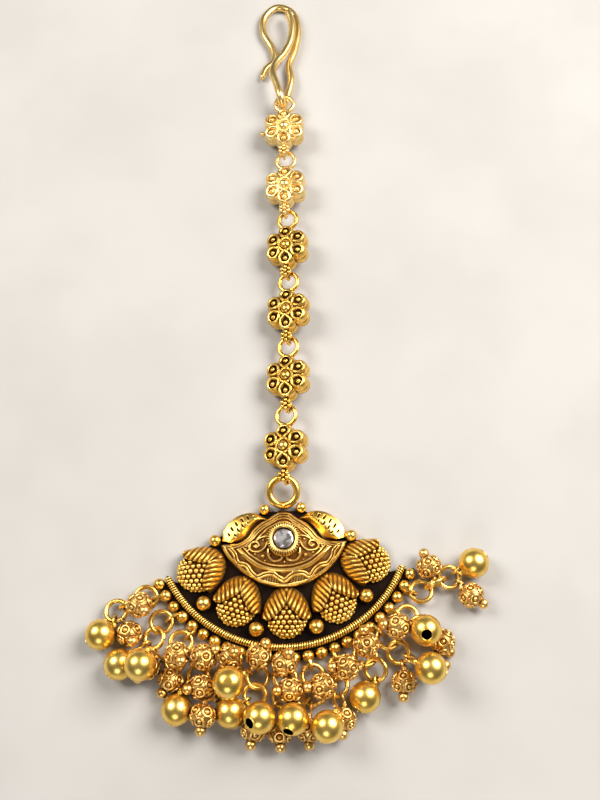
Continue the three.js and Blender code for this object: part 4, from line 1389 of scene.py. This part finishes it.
def studded_bead():
    """A bead along +Z: the ball, its studs, its dots and its tip."""
    heap = Heap()
    heap.add(ball(BEAD_BALL, vec(0, 0, 0), count=28, rows=18), hollow=0.2)
    for latitude, shift in ((27, 0), (-27, 36)):
        for k in range(5):
            out = direction(shift + 72 * k, latitude)
            heap.add(ring(STUD, STUD_WIRE, out, out * 1.68, 24, 8))
            heap.add(grain(STUD_DOT, out * 1.62))
    for latitude, shift, reach in ((62, 36, 1.68), (-62, 0, 1.68), (0, 18, 1.75), (0, 54, 1.75)):
        for k in range(5):
            heap.add(grain(SMALL_DOT, reach * direction(shift + 72 * k, latitude)))
    heap.add(ball(BEAD_TIP, vec(0, 0, BEAD_RADIUS + 0.27), count=18, rows=11))
    heap.add(tube([(0, 0, 1.5), (0, 0, 2.0)], 0.4, 12), hollow=0.3)
    return heap


BEADS = [
    # tassel (from 0), ring (from 1), x, y, z, heading and climb of the tip, turn of the ring
    (0, 1, -21.8, -10.0, 4.3, 314, 44, None), (0, 2, -23.4, -14.0, 1.9, 300, 45, None),
    (1, 2, -20.3, -18.9, 1.9, 228, -5, None), (2, 1, -15.8, -17.4, 4.3, 308, 52, None),
    (2, 2, -16.8, -20.9, 1.9, 235, 0, None), (3, 1, -11.9, -17.7, 4.3, 28, 10, None),
    (3, 2, -12.1, -21.9, 2.7, 191, 22, None), (4, 1, -7.8, -17.8, 4.45, 38, 64, None),
    (4, 2, -11.7, -26.0, 3.6, 262, -10, None), (5, 1, -3.6, -17.6, 4.3, 60, 20, None),
    (5, 2, -4.3, -27.9, 1.9, 260, 0, None), (6, 1, 0.2, -18.7, 4.6, 62, 48, None),
    (7, 1, 1.1, -22.4, 4.1, 187, 25, None), (8, 1, 5.8, -21.9, 4.1, 185, 10, None),
    (6, 2, -0.4, -28.2, 1.9, 272, 0, 30), (9, 1, 9.5, -19.2, 4.3, 180, 5, None),
    (7, 2, 3.9, -27.9, 1.9, 270, -15, None), (10, 1, 12.4, -15.9, 4.3, 100, 25, None),
    (8, 2, 9.0, -26.4, 1.9, 265, 0, 40), (10, 2, 18.1, -21.1, 1.9, 267, 0, None),
    (10, 2, 22.2, -18.7, 1.9, 0, 0, None), (11, 1, 17.2, -13.2, 4.3, 175, 10, None),
    (11, 2, 24.1, -15.2, 1.9, 310, -30, None), (12, 1, 22.6, -3.8, 1.9, 110, 5, None),
    (12, 2, 28.9, -8.2, 1.9, 324, 0, -50),
]

for number, (tassel, which, x, y, z, heading, climb, wanted) in enumerate(BEADS, 1):
    axis, middle = direction(heading, climb), vec(x, y, z)
    heap = studded_bead()
    heap.points = [pose(p, axis, middle, spin=23.0 * number) for p in heap.points]
    held_by = RINGS[tassel][which - 1]
    hang(heap, middle, axis, BEAD_NECK, held_by, wanted, BEAD_EYE, shift=0.3)
    node = f"bead_tassel_{tassel + 1:02d}"
    make(f"bead_{number:02d}", heap, [BEAD_GOLD], [node], sharp=60)

# %% [markdown]
# ## The smooth balls
# The balls are hollow, blown from thin tube, with a hole opposite the neck. The edge of the hole
# is turned over into a thin bright lip, and the inside is painted near black as painted shade.
# They are the most polished things on the ornament, so their mesh has to be finer than the rest.

# %% One hollow ball
BALLS = [
    # x, y, z, heading and climb of the hole, turn of the ring where it hangs
    (-27.7, -14.2, 2.35, 213, -10, None), (-24.6, -18.6, 2.35, 225, -10, None),
    (-20.9, -19.0, 6.1, 240, -25, -70), (-15.7, -25.1, 2.35, 258, -20, -30),
    (-7.8, -21.6, 6.8, 210, 0, None), (-7.8, -25.5, 2.35, 297, -20, None),
    (-3.3, -26.4, 5.8, 211, 42, -50), (1.5, -26.6, 5.4, 250, 30, None),
    (6.5, -27.6, 5.4, 240, -20, 0), (12.2, -23.3, 2.35, 234, 5, None),
    (21.7, -19.5, 6.1, 340, -10, None), (21.3, -13.9, 5.0, 262, 66, None),
    (29.5, -3.3, 2.35, 37, 5, 20),
]
BALL_RADIUS, BALL_WALL, BALL_HOLE = 2.35, 0.3, 0.85
BALL_SIDES, BALL_EYE = 48, 0.82


def hollow_ball(heap, axis, middle):
    """Outside first, over the lip, and back down the inside."""
    lip = math.degrees(math.asin(BALL_HOLE / BALL_RADIUS))
    outside = arc_rows(BALL_RADIUS, 180, lip + 2, 34)
    outside[0] = (0, -BALL_RADIUS)
    inner = BALL_RADIUS - BALL_WALL
    inner_lip = math.degrees(math.asin(BALL_HOLE * 0.96 / inner))
    inside = arc_rows(inner, inner_lip, 180, 16)
    inside[-1] = (0, -inner)
    points, faces = lathe(outside + inside, BALL_SIDES)
    lip_at, poles_at = (len(outside) - 1) * BALL_SIDES, len(points) - 2
    outer_faces = [f for f in faces if max(i for i in f if i < poles_at) < lip_at]
    kept = set(outer_faces)
    inner_faces = [f for f in faces if f not in kept]
    placed = pose(points, axis, middle)
    heap.add((placed, outer_faces))
    # the inside shares the outside's points, so that the ball is one closed skin
    heap.faces.extend(inner_faces)
    heap.paints.extend([1] * len(inner_faces))
    # the inside takes the second material, near black: painted shade inside the hole
    z = BALL_RADIUS * math.cos(math.radians(lip))
    heap.add(ring(BALL_HOLE, 0.1, axis, middle + axis * (z - 0.02), 44, 8))


for number, (x, y, z, heading, climb, wanted) in enumerate(BALLS, 1):
    heap = Heap()
    axis, middle = direction(heading, climb), vec(x, y, z)
    hollow_ball(heap, axis, middle)
    hang(heap, middle, axis, BALL_RADIUS, RINGS[number - 1][1], wanted, BALL_EYE, shift=0.05)
    node = f"ball_drop_{number:02d}"
    make(f"ball_{number:02d}", heap, [BALL_GOLD, SHADE_BLACK], [node], sharp=60)
